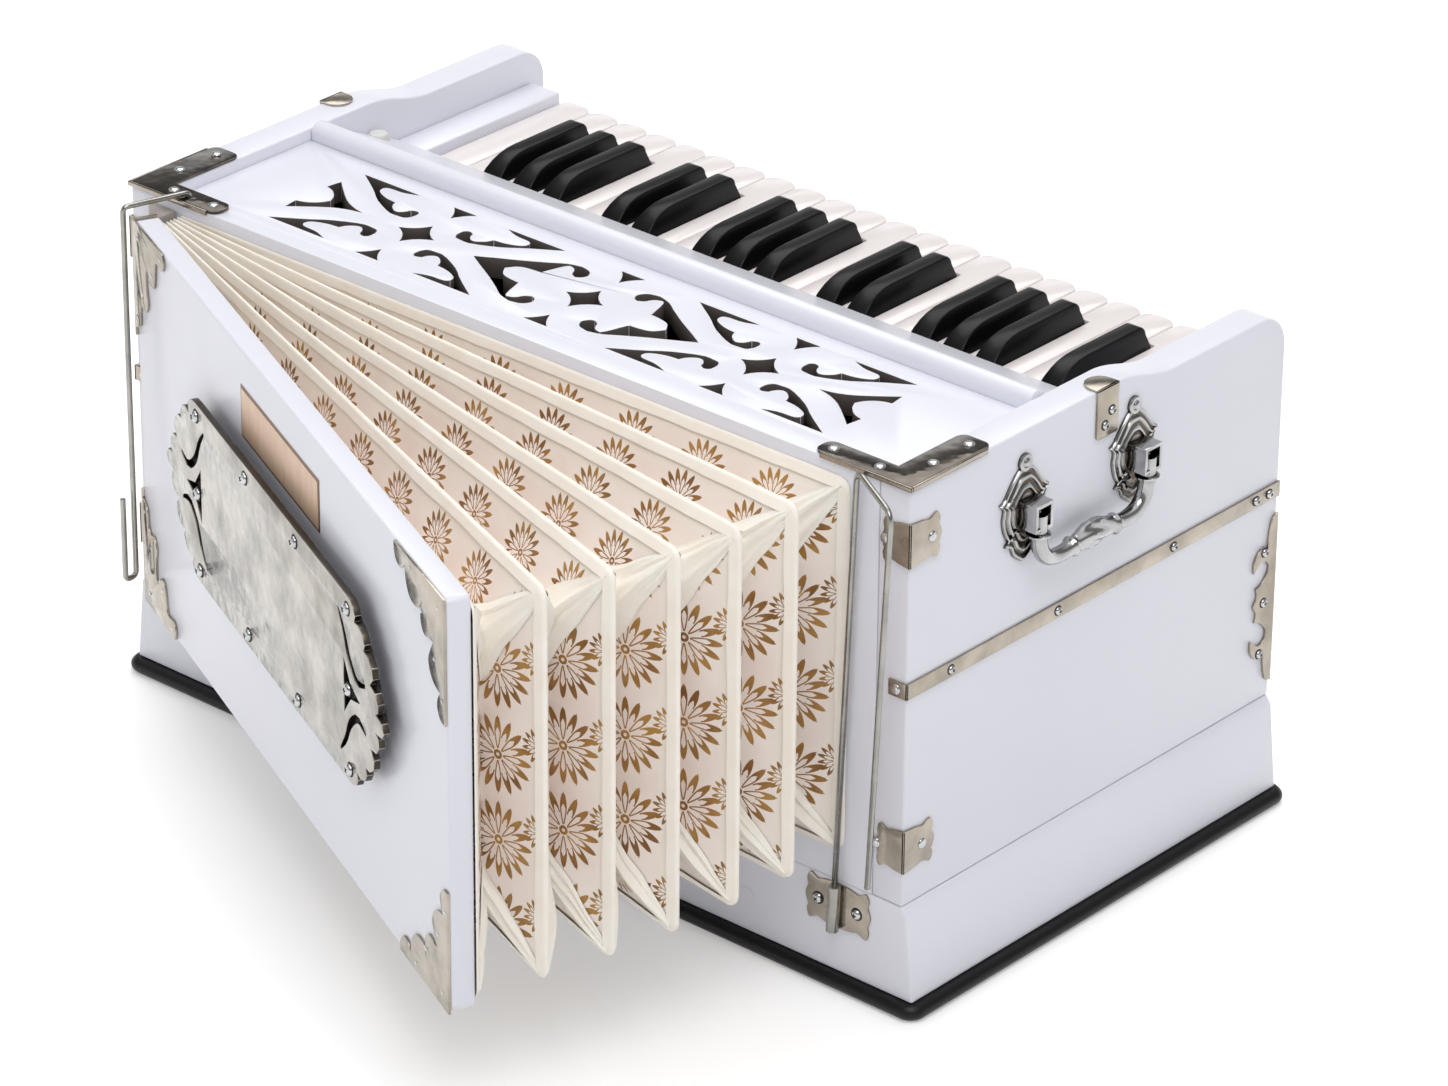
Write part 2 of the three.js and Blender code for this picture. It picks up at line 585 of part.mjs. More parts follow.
// Reed board inside the case, with a slot for each key
{
  const reedBottom = REED_BOARD_TOP - REED_BOARD_THICKNESS;
  const board = box(
    -INNER_FIT, INNER_FIT, FRONT_INSIDE_Y + TOUCH_GAP, HALF_DEPTH - REAR_THICKNESS - TOUCH_GAP,
    reedBottom, REED_BOARD_TOP,
  );
  const slots = [];
  for (let index = 0; index < REED_COUNT; index += 1) {
    const x = ((index + 0.5) / REED_COUNT - 0.5) * KEYBOARD_LENGTH;
    slots.push(box(
      x - REED_SLOT_WIDTH / 2, x + REED_SLOT_WIDTH / 2,
      REED_SLOT_Y - REED_SLOT_LENGTH / 2, REED_SLOT_Y + REED_SLOT_LENGTH / 2,
      reedBottom - OVERRUN, REED_BOARD_TOP + OVERRUN,
    ));
  }
  addPiece('reed_board', cut(board, ...slots), BARE_WOOD);
}

// Plinth with the plate and tube that carry the right-hand clip
function plinthRing(outX, z) {
  const x = HALF_LENGTH + outX;
  return [[-x, -HALF_DEPTH], [x, -HALF_DEPTH], [x, HALF_DEPTH], [-x, HALF_DEPTH]].map(
    ([px, py]) => new THREE.Vector3(px, py, z),
  );
}

{
  const frame = cut(
    loft([
      plinthRing(PLINTH_FLARE, PLINTH_BOTTOM),
      plinthRing(PLINTH_SHOULDER, PLINTH_TOP - PLINTH_BEVEL),
      plinthRing(0, PLINTH_TOP),
    ]),
    box(
      -INNER_HALF, INNER_HALF, FRONT_INSIDE_Y, HALF_DEPTH - REAR_THICKNESS,
      PLINTH_BOTTOM - OVERRUN, PLINTH_TOP + OVERRUN,
    ),
  );
  const half = CLIP_PLATE_WIDTH / 2;
  const ears = [
    ...earPlate(half, CLIP_PLATE_HEIGHT).slice(0, -1),
    ...mirrored(earPlate(half, CLIP_PLATE_HEIGHT), -1, 1).slice(1),
  ];
  const plate = slab(
    new THREE.Shape(ears), SHEET + WELD, ON_FRONT, CLIP_PLATE_X, -HALF_DEPTH + WELD, CLIP_PLATE_Z,
  );
  const tubeRadius = WIRE_RADIUS + WIRE_CLEARANCE + CLIP_TUBE_WALL;
  const [tube, bore] = [
    [tubeRadius, CLIP_PLATE_HEIGHT],
    [WIRE_RADIUS + WIRE_CLEARANCE, CLIP_PLATE_HEIGHT + OVERRUN],
  ].map(([radius, length]) => {
    const round = new THREE.CylinderGeometry(radius, radius, length, WIRE_SIDES + WIRE_SIDES);
    round.rotateX(Math.PI / 2);
    round.rotateY(CLIP_LEAN_ANGLE);
    round.translate(CLIP_PLATE_X, CLIP_ROD_Y, CLIP_PLATE_Z);
    return round;
  });
  addPiece('plinth', cut(join(frame, plate, tube), bore), WHITE_PAINT);
}

// Fretwork panel: four-pointed stars with scrolls round them. Outlines are shares of half the
// pitch and of half the height of the fretwork, measured from the middle of the nearest star.
const SCROLL_SHARES = [
  [[0.274, 0.37], [0.308, 0.28], [0.387, 0.26], [0.502, 0.27], [0.751, 0.461], [0.933, 0.676], [1.22, 0.97]],
  [[1.22, 0.97], [0.53, 0.97]],
  [[0.53, 0.97], [0.684, 0.88], [0.843, 0.86], [0.889, 0.803]],
  [[0.889, 0.803], [0.877, 0.712], [0.808, 0.64], [0.705, 0.585], [0.598, 0.567]],
  [[0.598, 0.567], [0.569, 0.461], [0.502, 0.37], [0.444, 0.36], [0.398, 0.425], [0.375, 0.516]],
  [[0.375, 0.516], [0.318, 0.552], [0.274, 0.497], [0.274, 0.37]],
];
const FORK_HALF_SHARES = [
  [[-1.31, 0], [-1.16, 0.137], [-0.934, 0.334], [-0.728, 0.534], [-0.592, 0.676], [-0.456, 0.741]],
  [[-0.456, 0.741], [-0.341, 0.694], [-0.289, 0.567], [-0.318, 0.461], [-0.364, 0.425]],
  [[-0.364, 0.425], [-0.421, 0.479], [-0.456, 0.585], [-0.513, 0.64], [-0.569, 0.604], [-0.643, 0.225]],
  [[-0.643, 0.225], [-0.751, 0.21], [-0.866, 0.155], [-0.938, 0]],
];
const END_FORK_HALF_SHARES = [
  [[-0.65, 0], [-0.796, 0.052], [-0.956, 0.174], [-1.161, 0.425], [-1.264, 0.567]],
  [[-1.264, 0.567], [-1.287, 0.316]],
  [[-1.287, 0.316], [-1.184, 0.262], [-1.093, 0.137], [-1.048, 0]],
];
const TRIANGLE_TIP_SHARE = 0.35;

function bothHalves(halfShares) {
  const upper = outlineOf(halfShares, FRET_PITCH / 2, FRET_HALF_HEIGHT);
  const ends = halfShares[halfShares.length - 1];
  const last = ends[ends.length - 1];
  upper.push(new THREE.Vector2(last[0] * FRET_PITCH / 2, last[1] * FRET_HALF_HEIGHT));
  const lower = upper.slice(1, -1).map((p) => new THREE.Vector2(p.x, -p.y)).reverse();
  return [...upper, ...lower];
}

function starHole() {
  const waist = STAR_RADIUS * STAR_WAIST_SHARE;
  const star = new THREE.Shape();
  star.moveTo(STAR_RADIUS, 0);
  star.quadraticCurveTo(waist, waist, 0, STAR_RADIUS);
  star.quadraticCurveTo(-waist, waist, -STAR_RADIUS, 0);
  star.quadraticCurveTo(-waist, -waist, 0, -STAR_RADIUS);
  star.quadraticCurveTo(waist, -waist, STAR_RADIUS, 0);
  return star.getPoints(CURVE_STEPS).slice(0, -1);
}

function dartHole() {
  const base = FRET_HALF_HEIGHT;
  const apex = FRET_HALF_HEIGHT - DART_HEIGHT;
  const pinch = DART_HALF_WIDTH * TRIANGLE_TIP_SHARE;
  const dart = new THREE.Shape();
  dart.moveTo(-DART_HALF_WIDTH, base);
  dart.quadraticCurveTo(-pinch, base - DART_HEIGHT * TRIANGLE_TIP_SHARE, 0, apex);
  dart.quadraticCurveTo(pinch, base - DART_HEIGHT * TRIANGLE_TIP_SHARE, DART_HALF_WIDTH, base);
  return dart.getPoints(CURVE_STEPS);
}

{
  const middleY = (PANEL_FRONT_Y + PANEL_REAR_Y) / 2;
  const scroll = outlineOf(SCROLL_SHARES, FRET_PITCH / 2, FRET_HALF_HEIGHT);
  const holes = [];
  for (const star of [-1, 0, 1]) {
    const x = FRET_OFFSET + star * FRET_PITCH;
    holes.push(shifted(starHole(), x, middleY));
    for (const up of [1, -1]) {
      holes.push(shifted(mirrored(dartHole(), 1, up), x, middleY));
      for (const across of star === 0 ? [] : [1, -1]) {
        holes.push(shifted(mirrored(scroll, across, up), x, middleY));
      }
    }
  }
  for (const across of [1, -1]) {
    holes.push(shifted(mirrored(bothHalves(FORK_HALF_SHARES), across, 1), FRET_OFFSET, middleY));
    const endFork = mirrored(bothHalves(END_FORK_HALF_SHARES), across, 1);
    holes.push(shifted(endFork, FRET_OFFSET - across * FRET_PITCH, middleY));
  }
  const underside = PANEL_TOP - PANEL_THICKNESS;
  const board = box(-INNER_FIT, INNER_FIT, PANEL_FRONT_Y, PANEL_REAR_Y, underside, PANEL_TOP);
  const saws = holes.map((points) => slab(
    new THREE.Shape(points), PANEL_THICKNESS + OVERRUN * 2, FLOOR_PLAN, 0, 0, underside - OVERRUN,
  ));
  addPiece('fretwork_panel', cut(board, ...saws), WHITE_PAINT);
}

// Key rail: a nosed moulding over a floor with the ridge that the keys rock on
{
  const noseRadius = RAIL_WEB / 2;
  const noseY = RAIL_FRONT_Y + noseRadius;
  const noseZ = PANEL_TOP + RAIL_NOSE_RISE - noseRadius;
  const ceiling = KEY_TOP + RAIL_HEADROOM;
  const ridgeTop = KEY_BOTTOM - TOUCH_GAP;
  const floorTop = ridgeTop - BALANCE_RADIUS;
  const floorRear = KEY_PIVOT_Y + BALANCE_RADIUS + RAIL_FLOOR_REACH;
  const profile = new THREE.Shape();
  profile.moveTo(RAIL_FRONT_Y, floorTop - RAIL_FLOOR_THICKNESS);
  profile.lineTo(floorRear, floorTop - RAIL_FLOOR_THICKNESS);
  profile.lineTo(floorRear, floorTop);
  profile.lineTo(KEY_PIVOT_Y + BALANCE_RADIUS, floorTop);
  profile.absarc(KEY_PIVOT_Y, floorTop, BALANCE_RADIUS, 0, Math.PI);
  profile.lineTo(RAIL_FRONT_Y + RAIL_WEB, floorTop);
  profile.lineTo(RAIL_FRONT_Y + RAIL_WEB, ceiling);
  profile.lineTo(RAIL_REAR_Y, ceiling);
  profile.lineTo(RAIL_REAR_Y, ceiling + RAIL_REAR_THICKNESS);
  profile.lineTo(noseY + noseRadius, noseZ);
  profile.absarc(noseY, noseZ, noseRadius, 0, Math.PI);
  addPiece('key_rail', slab(profile, INNER_FIT * 2, ON_RIGHT, -INNER_FIT), WHITE_PAINT);
}

// Keys
function whiteKey(cutLeft, cutRight) {
  const half = (KEY_PITCH - KEY_GAP) / 2;
  const slot = BLACK_WIDTH / 2 + BLACK_CLEARANCE - KEY_GAP / 2;
  const left = cutLeft ? -half + slot : -half;
  const right = cutRight ? half - slot : half;
  const shoulder = BLACK_END_Y + SLOT_PAST_BLACK;
  const key = new THREE.Shape();
  key.moveTo(left, KEY_TAIL_Y);
  key.lineTo(right, KEY_TAIL_Y);
  key.lineTo(right, shoulder);
  key.lineTo(half, shoulder);
  key.lineTo(half, WHITE_END_Y);
  for (let step = 1; step < SCALLOP_STEPS; step += 1) {
    const turn = (step / SCALLOP_STEPS) * Math.PI;
    key.lineTo(half * Math.cos(turn), WHITE_END_Y + WHITE_SCALLOP * Math.sin(turn));
  }
  key.lineTo(-half, WHITE_END_Y);
  key.lineTo(-half, shoulder);
  key.lineTo(left, shoulder);
  return slab(key, KEY_THICKNESS);
}

function blackKey() {
  const crest = KEY_THICKNESS + BLACK_HEIGHT;
  const side = new THREE.Shape();
  side.moveTo(KEY_TAIL_Y, 0);
  side.lineTo(BLACK_END_Y, 0);
  side.lineTo(BLACK_END_Y, KEY_THICKNESS);
  side.lineTo(BLACK_END_Y - BLACK_END_LEAN, crest - BLACK_ROUND);
  side.quadraticCurveTo(
    BLACK_END_Y - BLACK_END_LEAN, crest, BLACK_END_Y - BLACK_END_LEAN - BLACK_ROUND, crest,
  );
  side.lineTo(BLACK_START_Y + BLACK_SLOPE, crest);
  side.quadraticCurveTo(
    BLACK_START_Y + BLACK_SLOPE * BLACK_SLOPE_PULL_SHARE, crest, BLACK_START_Y, KEY_THICKNESS,
  );
  side.lineTo(KEY_TAIL_Y, KEY_THICKNESS);
  const geometry = slab(side, BLACK_WIDTH, ON_RIGHT, -BLACK_WIDTH / 2);
  const position = geometry.attributes.position;
  for (let i = 0; i < position.count; i += 1) {
    const above = Math.max(position.getZ(i) - KEY_THICKNESS, 0) / BLACK_HEIGHT;
    const width = THREE.MathUtils.lerp(1, BLACK_TOP_SHARE, above);
    position.setX(i, position.getX(i) * width);
  }
  return geometry;
}

{
  const keyboard = new THREE.Group();
  keyboard.position.set(-KEYBOARD_LENGTH / 2, 0, KEY_BOTTOM);
  harmonium.add(keyboard);
  let blacks = 0;
  for (let index = 0; index < WHITE_COUNT; index += 1) {
    const number = String(index + 1).padStart(2, '0');
    const white = addPiece(
      `white_key_${number}`, whiteKey(blackAfter(index - 1), blackAfter(index)), WHITE_KEY, keyboard,
    );
    white.position.x = (index + 0.5) * KEY_PITCH;
    if (blackAfter(index)) {
      blacks += 1;
      const black = addPiece(`black_key_${String(blacks).padStart(2, '0')}`, blackKey(), BLACK_KEY, keyboard);
      black.position.x = (index + 1) * KEY_PITCH;
    }
  }
}

// Bellows: ridges and valleys fan out from the hinge side. Station 0 lies on the case, station
// 2 * (FOLD_COUNT + 1) on the flap, even stations are ridges and odd ones are valleys.
const STATIONS = 2 * (FOLD_COUNT + 1);

function bellowsFrame(station, inward, nudge) {
  const share = station / STATIONS;
  const angle = OPEN_ANGLE * share;
  const rootY = -HALF_DEPTH - TOUCH_GAP - (STACK_AT_HINGE - TOUCH_GAP - TOUCH_GAP) * share;
  const depth = station % 2 === 1 ? PLEAT_DEPTH : 0;
  const along = new THREE.Vector3(Math.cos(angle), -Math.sin(angle), 0);
  const across = new THREE.Vector3(-Math.sin(angle), -Math.cos(angle), 0);
  const root = new THREE.Vector3(HINGE_X, rootY, 0).add(across.multiplyScalar(nudge));
  const right = BELLOWS_LENGTH - depth - inward;
  const bottom = BELLOWS_BOTTOM + depth + inward;
  const top = BELLOWS_TOP - depth - inward;
  return [[inward, bottom], [right, bottom], [right, top], [inward, top]].map(
    ([s, z]) => root.clone().add(along.clone().multiplyScalar(s)).add(new THREE.Vector3(0, 0, z)),
  );
}

// A folded ring of leather through the given stations, open in the middle.
function bellowsFold(first, last) {
  const outer = [];
  const inner = [];
  for (let station = first; station <= last; station += 1) {
    let nudge = 0;
    if (station === first && station > 0) nudge = FOLD_GAP;
    if (station === last && station < STATIONS) nudge = -FOLD_GAP;
    outer.push(bellowsFrame(station, 0, nudge));
    inner.push(bellowsFrame(station, BELLOWS_WALL, nudge));
  }
  // The inner walls are split along the same diagonals as the outer ones, so they never cross.
  const rings = [...outer, ...inner.reverse()];
  const positions = rings.flat().flatMap((p) => [p.x, p.y, p.z]);
  const corners = outer[0].length;
  const indices = [];
  for (let ring = 0; ring < rings.length; ring += 1) {
    const here = ring * corners;
    const there = ((ring + 1) % rings.length) * corners;
    for (let corner = 0; corner < corners; corner += 1) {
      const next = (corner + 1) % corners;
      const [a, b, c, d] = [here + corner, here + next, there + next, there + corner];
      indices.push(...(ring < outer.length ? [a, c, d, a, b, c] : [a, b, d, b, c, d]));
    }
  }
  const geometry = new THREE.BufferGeometry();
  geometry.setAttribute('position', new THREE.Float32BufferAttribute(positions, 3));
  geometry.setIndex(indices);
  return geometry;
}

for (let fold = 1; fold <= FOLD_COUNT; fold += 1) {
  const first = fold === 1 ? 0 : 2 * fold - 1;
  const last = fold === FOLD_COUNT ? STATIONS : 2 * fold + 1;
  addPiece(`bellows_fold_${fold}`, bellowsFold(first, last), BELLOWS_CLOTH);
}

// Flap with its corner brackets, and the bare nameplate. The group's origin is the flap's hinge
// edge at floor level, +X along the flap and -Y out of its face.
const flap = new THREE.Group();
flap.position.set(HINGE_X, -HALF_DEPTH - STACK_AT_HINGE, 0);
flap.rotation.z = -OPEN_ANGLE;
harmonium.add(flap);

const FLAP_BRACKET_SHARES = [
  [[0, 0], [1, 0]],
  [[1, 0], [0.97, 0.09], [0.84, 0.13], [0.74, 0.12]],
  [[0.74, 0.12], [0.7, 0.26], [0.6, 0.33], [0.46, 0.31]],
  [[0.46, 0.31], [0.44, 0.4], [0.4, 0.44], [0.31, 0.46]],
  [[0.31, 0.46], [0.33, 0.6], [0.26, 0.7], [0.12, 0.74]],
  [[0.12, 0.74], [0.13, 0.84], [0.09, 0.97], [0, 1]],
  [[0, 1], [0, 0]],
];

{
  const board = new THREE.ExtrudeGeometry(
    roundedRectangle(0, FLAP_LENGTH, 0, FLAP_HEIGHT, FLAP_ROUND),
    { depth: FLAP_THICKNESS, bevelEnabled: false, curveSegments: CURVE_STEPS },
  );
  board.applyMatrix4(ON_FRONT);
  board.translate(0, 0, FLAP_BOTTOM);
  const outline = outlineOf(FLAP_BRACKET_SHARES, FLAP_BRACKET, FLAP_BRACKET, FITTING_STEPS);
  const brackets = [];
  for (const [atEnd, atTop] of [[0, 0], [0, 1], [1, 0], [1, 1]]) {
    const turned = mirrored(outline, atEnd ? -1 : 1, atTop ? -1 : 1);
    brackets.push(slab(
      new THREE.Shape(turned), SHEET + WELD, ON_FRONT,
      atEnd * FLAP_LENGTH, -FLAP_THICKNESS + WELD, FLAP_BOTTOM + atTop * FLAP_HEIGHT,
    ));
  }
  addPiece('flap_board', join(board, ...brackets), WHITE_PAINT, flap);
}

// The nameplate's scalloped right half, as shares of its half length and half height
const PLATE_HALF_SHARES = [
  [[0.69, -1], [0.74, -0.98], [0.77, -0.9], [0.76, -0.8]],
  [[0.76, -0.8], [0.81, -0.82], [0.85, -0.72], [0.84, -0.62]],
  [[0.84, -0.62], [0.89, -0.6], [0.92, -0.46], [0.89, -0.34]],
  [[0.89, -0.34], [0.95, -0.3], [0.96, -0.16], [0.94, -0.1]],
  [[0.94, -0.1], [1, -0.06], [1, 0.06], [0.94, 0.1]],
  [[0.94, 0.1], [0.96, 0.16], [0.95, 0.3], [0.89, 0.34]],
  [[0.89, 0.34], [0.92, 0.46], [0.89, 0.6], [0.84, 0.62]],
  [[0.84, 0.62], [0.85, 0.72], [0.81, 0.82], [0.76, 0.8]],
  [[0.76, 0.8], [0.77, 0.9], [0.74, 0.98], [0.69, 1]],
];
const PLATE_SLOT_SHARES = [[0.62, 0.76], [0.67, 0.58], [0.71, 0.36], [0.78, 0.2], [0.85, 0.26]];
const PLATE_DART_SHARES = [
  [[0.66, 0.3], [0.72, 0.08], [0.8, 0]],
  [[0.8, 0], [0.72, -0.08], [0.66, -0.3]],
  [[0.66, -0.3], [0.66, 0.3]],
];

{
  const halfX = PLATE_LENGTH / 2;
  const halfY = PLATE_HEIGHT / 2;
  const right = outlineOf(PLATE_HALF_SHARES, halfX, halfY, FITTING_STEPS);
  const [lastX, lastY] = PLATE_HALF_SHARES.at(-1).at(-1);
  right.push(new THREE.Vector2(lastX * halfX, lastY * halfY));
  const left = right.map((p) => new THREE.Vector2(-p.x, p.y)).reverse();
  const plate = new THREE.Shape([...right, ...left]);
  const dart = outlineOf(PLATE_DART_SHARES, halfX, halfY, FITTING_STEPS);
  const spine = new THREE.SplineCurve(
    PLATE_SLOT_SHARES.map(([x, y]) => new THREE.Vector2(x * halfX, y * halfY)),
  );
  const spinePoints = spine.getPoints(2 * CURVE_STEPS);
  const edges = [1, -1].map((side) => spinePoints.map((p, i) => {
    const t = i / (spinePoints.length - 1);
    const tangent = spine.getTangent(t);
    const taper = THREE.MathUtils.lerp(PLATE_SLOT_TAPER_SHARE, 1 - PLATE_SLOT_TAPER_SHARE, t);
    const width = PLATE_SLOT_WIDTH / 2 * Math.sin(Math.PI * taper) * side;
    return new THREE.Vector2(p.x - tangent.y * width, p.y + tangent.x * width);
  }));
  const slot = [...edges[0], ...edges[1].reverse()];
  for (const across of [1, -1]) {
    plate.holes.push(new THREE.Path(mirrored(dart, across, 1)));
    for (const up of [1, -1]) plate.holes.push(new THREE.Path(mirrored(slot, across, up)));
  }
  addPiece('nameplate', slab(
    plate, PLATE_THICKNESS, ON_FRONT,
    PLATE_HINGE_GAP + halfX, -FLAP_THICKNESS - TOUCH_GAP, FLAP_BOTTOM + FLAP_HEIGHT / 2 + PLATE_RISE,
  ), STEEL, flap);
}

// Clips: bent steel wire. The right one turns in its tube, the left one on a pin in the case top.
{
  const up = new THREE.Vector3(Math.sin(CLIP_LEAN_ANGLE), 0, Math.cos(CLIP_LEAN_ANGLE));
  const middle = new THREE.Vector3(CLIP_PLATE_X, CLIP_ROD_Y, CLIP_PLATE_Z);
  const foot = middle.clone().addScaledVector(up, -CLIP_PLATE_HEIGHT / 2);
  const head = middle.clone().addScaledVector(up, (CLIP_HEAD_Z - CLIP_PLATE_Z) / up.z);
  const out = new THREE.Vector3(Math.cos(CLIP_REST_ANGLE), -Math.sin(CLIP_REST_ANGLE), 0);
  const corner = head.clone().add(out.multiplyScalar(CLIP_ARM));
  corner.z -= CLIP_ARM_DROP;
  const end = corner.clone();
  end.x -= CLIP_LEAN;
  end.z = CLIP_LEG_END_Z;
  addPiece('clip_right', wire([foot, head, corner, end], WIRE_BEND), STEEL);
}
{
  const armZ = CASE_TOP + LEFT_CLIP_RISE;
  const pin = new THREE.Vector3(LEFT_CLIP_X, -HALF_DEPTH + LEFT_CLIP_SETBACK, armZ - LEFT_CLIP_PIN);
  const bend = new THREE.Vector3(pin.x, pin.y, armZ);
  const outer = new THREE.Vector3(
    pin.x - CLIP_ARM * Math.cos(LEFT_CLIP_REST_ANGLE), pin.y - CLIP_ARM * Math.sin(LEFT_CLIP_REST_ANGLE), armZ,
  );
  const low = new THREE.Vector3(outer.x, outer.y, LEFT_CLIP_END_Z);
  const back = new THREE.Vector3(outer.x, outer.y - LEFT_CLIP_RETURN_WIDTH, low.z);
  const tip = new THREE.Vector3(back.x, back.y, low.z + LEFT_CLIP_RETURN);
  addPiece('clip_left', wire([pin, bend, outer, low, back, tip], WIRE_BEND / 2), STEEL);
}

// Handles: two ornate rosettes with forked bosses and a bail that hangs between them. Drawn for
// the right-hand end, with the origin on the case between the rosettes at pivot height.
const ROSETTE_SHARES = [
  [[0, -0.5], [0.16, -0.47], [0.22, -0.38]],
  [[0.22, -0.38], [0.36, -0.34], [0.42, -0.22], [0.38, -0.14]],
  [[0.38, -0.14], [0.5, -0.06], [0.5, 0.08], [0.4, 0.14]],
  [[0.4, 0.14], [0.4, 0.24], [0.3, 0.33], [0.18, 0.34]],
  [[0.18, 0.34], [0.2, 0.42], [0.14, 0.5], [0, 0.5]],
];
const BAIL_SHARES = [
  [-1, 0], [-1, -0.3], [-0.9, -0.74], [-0.66, -0.98], [-0.36, -0.94], [0, -0.8],
  [0.36, -0.94], [0.66, -0.98], [0.9, -0.74], [1, -0.3], [1, 0],
];

function rosette() {
  const right = outlineOf(ROSETTE_SHARES, ROSETTE_WIDTH, ROSETTE_HEIGHT, FITTING_STEPS);
  right.push(new THREE.Vector2(0, ROSETTE_HEIGHT / 2));
  const left = right.slice(1, -1).map((p) => new THREE.Vector2(-p.x, p.y)).reverse();
  const plate = slab(new THREE.Shape([...right, ...left]), ROSETTE_THICKNESS, ON_RIGHT, TOUCH_GAP);
  const dome = new THREE.CylinderGeometry(
    ROSETTE_DOME_RADIUS - ROSETTE_DOME_RISE, ROSETTE_DOME_RADIUS, ROSETTE_DOME_RISE, WIRE_SIDES + WIRE_SIDES,
  );
  dome.rotateZ(-Math.PI / 2);
  dome.translate(TOUCH_GAP + ROSETTE_THICKNESS + ROSETTE_DOME_RISE / 2 - WELD, 0, 0);
  const boss = box(
    TOUCH_GAP, BOSS_REACH, -BOSS_WIDTH / 2, BOSS_WIDTH / 2, -BOSS_HEIGHT / 2, BOSS_HEIGHT / 2,
  );
  const slotHalf = BAIL_EYE_WIDTH / 2 + EYE_CLEARANCE;
  const slot = box(
    HANDLE_STANDOFF - BAIL_EYE_RADIUS - EYE_CLEARANCE, BOSS_REACH + OVERRUN,
    -slotHalf, slotHalf, -BOSS_HEIGHT - OVERRUN, BOSS_HEIGHT / 2 - EYE_CLEARANCE,
  );
  const pin = new THREE.CylinderGeometry(PIVOT_PIN_RADIUS, PIVOT_PIN_RADIUS, BOSS_WIDTH, WIRE_SIDES);
  pin.translate(HANDLE_STANDOFF, 0, 0);
  return join(cut(join(plate, dome, boss), slot), pin);
}

function bail() {
  const path = new THREE.CatmullRomCurve3(BAIL_SHARES.map(
    ([y, z]) => new THREE.Vector3(0, y * HANDLE_HALF_SPAN, z * BAIL_DROP),
  ));
  const swell = (t) => Math.exp(-(((t - 0.5) / BAIL_CENTRE_SHARE) ** 2));
  const neck = (t) => Math.min(1, Math.min(t, 1 - t) / BAIL_NECK_SHARE);
  const grip = bar(path, BAIL_STEPS, WIRE_SIDES, (t) => (
    THREE.MathUtils.lerp(BAIL_EYE_WIDTH / 2, BAIL_RADIUS, neck(t))
    + (BAIL_CENTRE_RADIUS - BAIL_RADIUS) * swell(t)
  ));
  let whole = grip;
  const holes = [];
  for (const end of [-1, 1]) {
    const eye = new THREE.CylinderGeometry(
      BAIL_EYE_RADIUS, BAIL_EYE_RADIUS, BAIL_EYE_WIDTH, WIRE_SIDES + WIRE_SIDES,
    );
    eye.translate(0, end * HANDLE_HALF_SPAN, 0);
    whole = join(whole, eye);
    const hole = new THREE.CylinderGeometry(
      PIVOT_PIN_RADIUS + PIVOT_CLEARANCE, PIVOT_PIN_RADIUS + PIVOT_CLEARANCE,
      BAIL_EYE_WIDTH + OVERRUN, WIRE_SIDES + WIRE_SIDES,
    );
    hole.translate(0, end * HANDLE_HALF_SPAN, 0);
    holes.push(hole);
  }
  return cut(whole, ...holes);
}

for (const [sideName, side] of [['right', 1], ['left', -1]]) {
  const handle = new THREE.Group();
  handle.position.set(side * HALF_LENGTH, HANDLE_Y, HANDLE_AXIS_Z);
  handle.rotation.z = side > 0 ? 0 : Math.PI;
  harmonium.add(handle);
  for (const [endName, end] of [['front', -side], ['rear', side]]) {
    const plate = addPiece(`rosette_${sideName}_${endName}`, rosette(), CHROME, handle);
    plate.position.y = end * HANDLE_HALF_SPAN;
  }
  const grip = addPiece(`handle_${sideName}`, bail(), CHROME, handle);
  grip.position.x = HANDLE_STANDOFF;
}

export default harmonium;
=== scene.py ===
# Dresses a packed harmonium: paint, metal fittings, screws, printed bellows, keys, studio, camera.
# Metres, +Z up. The bellows side faces -Y, the player sits at +Y, the bellows' hinge is at -X.

import json
import math

import bmesh
import bpy
from mathutils import Matrix, Vector, noise as wobble
from mathutils.geometry import convex_hull_2d


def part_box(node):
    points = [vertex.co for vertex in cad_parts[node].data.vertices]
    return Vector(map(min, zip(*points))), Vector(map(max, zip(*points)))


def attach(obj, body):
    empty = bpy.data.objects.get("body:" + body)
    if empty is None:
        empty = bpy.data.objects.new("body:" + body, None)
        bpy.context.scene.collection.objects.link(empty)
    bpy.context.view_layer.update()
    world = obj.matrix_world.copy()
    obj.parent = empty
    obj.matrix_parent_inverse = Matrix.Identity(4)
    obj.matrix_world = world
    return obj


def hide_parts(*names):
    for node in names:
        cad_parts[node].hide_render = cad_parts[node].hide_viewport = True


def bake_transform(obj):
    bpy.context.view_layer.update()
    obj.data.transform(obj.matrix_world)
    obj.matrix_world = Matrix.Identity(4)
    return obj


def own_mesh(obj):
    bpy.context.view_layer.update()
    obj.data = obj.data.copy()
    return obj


MM = 0.001


def in_mm(rows):
    """A table of sizes in millimetres, carried over to the scene's metres."""
    return [tuple(value * MM for value in row) for row in rows]


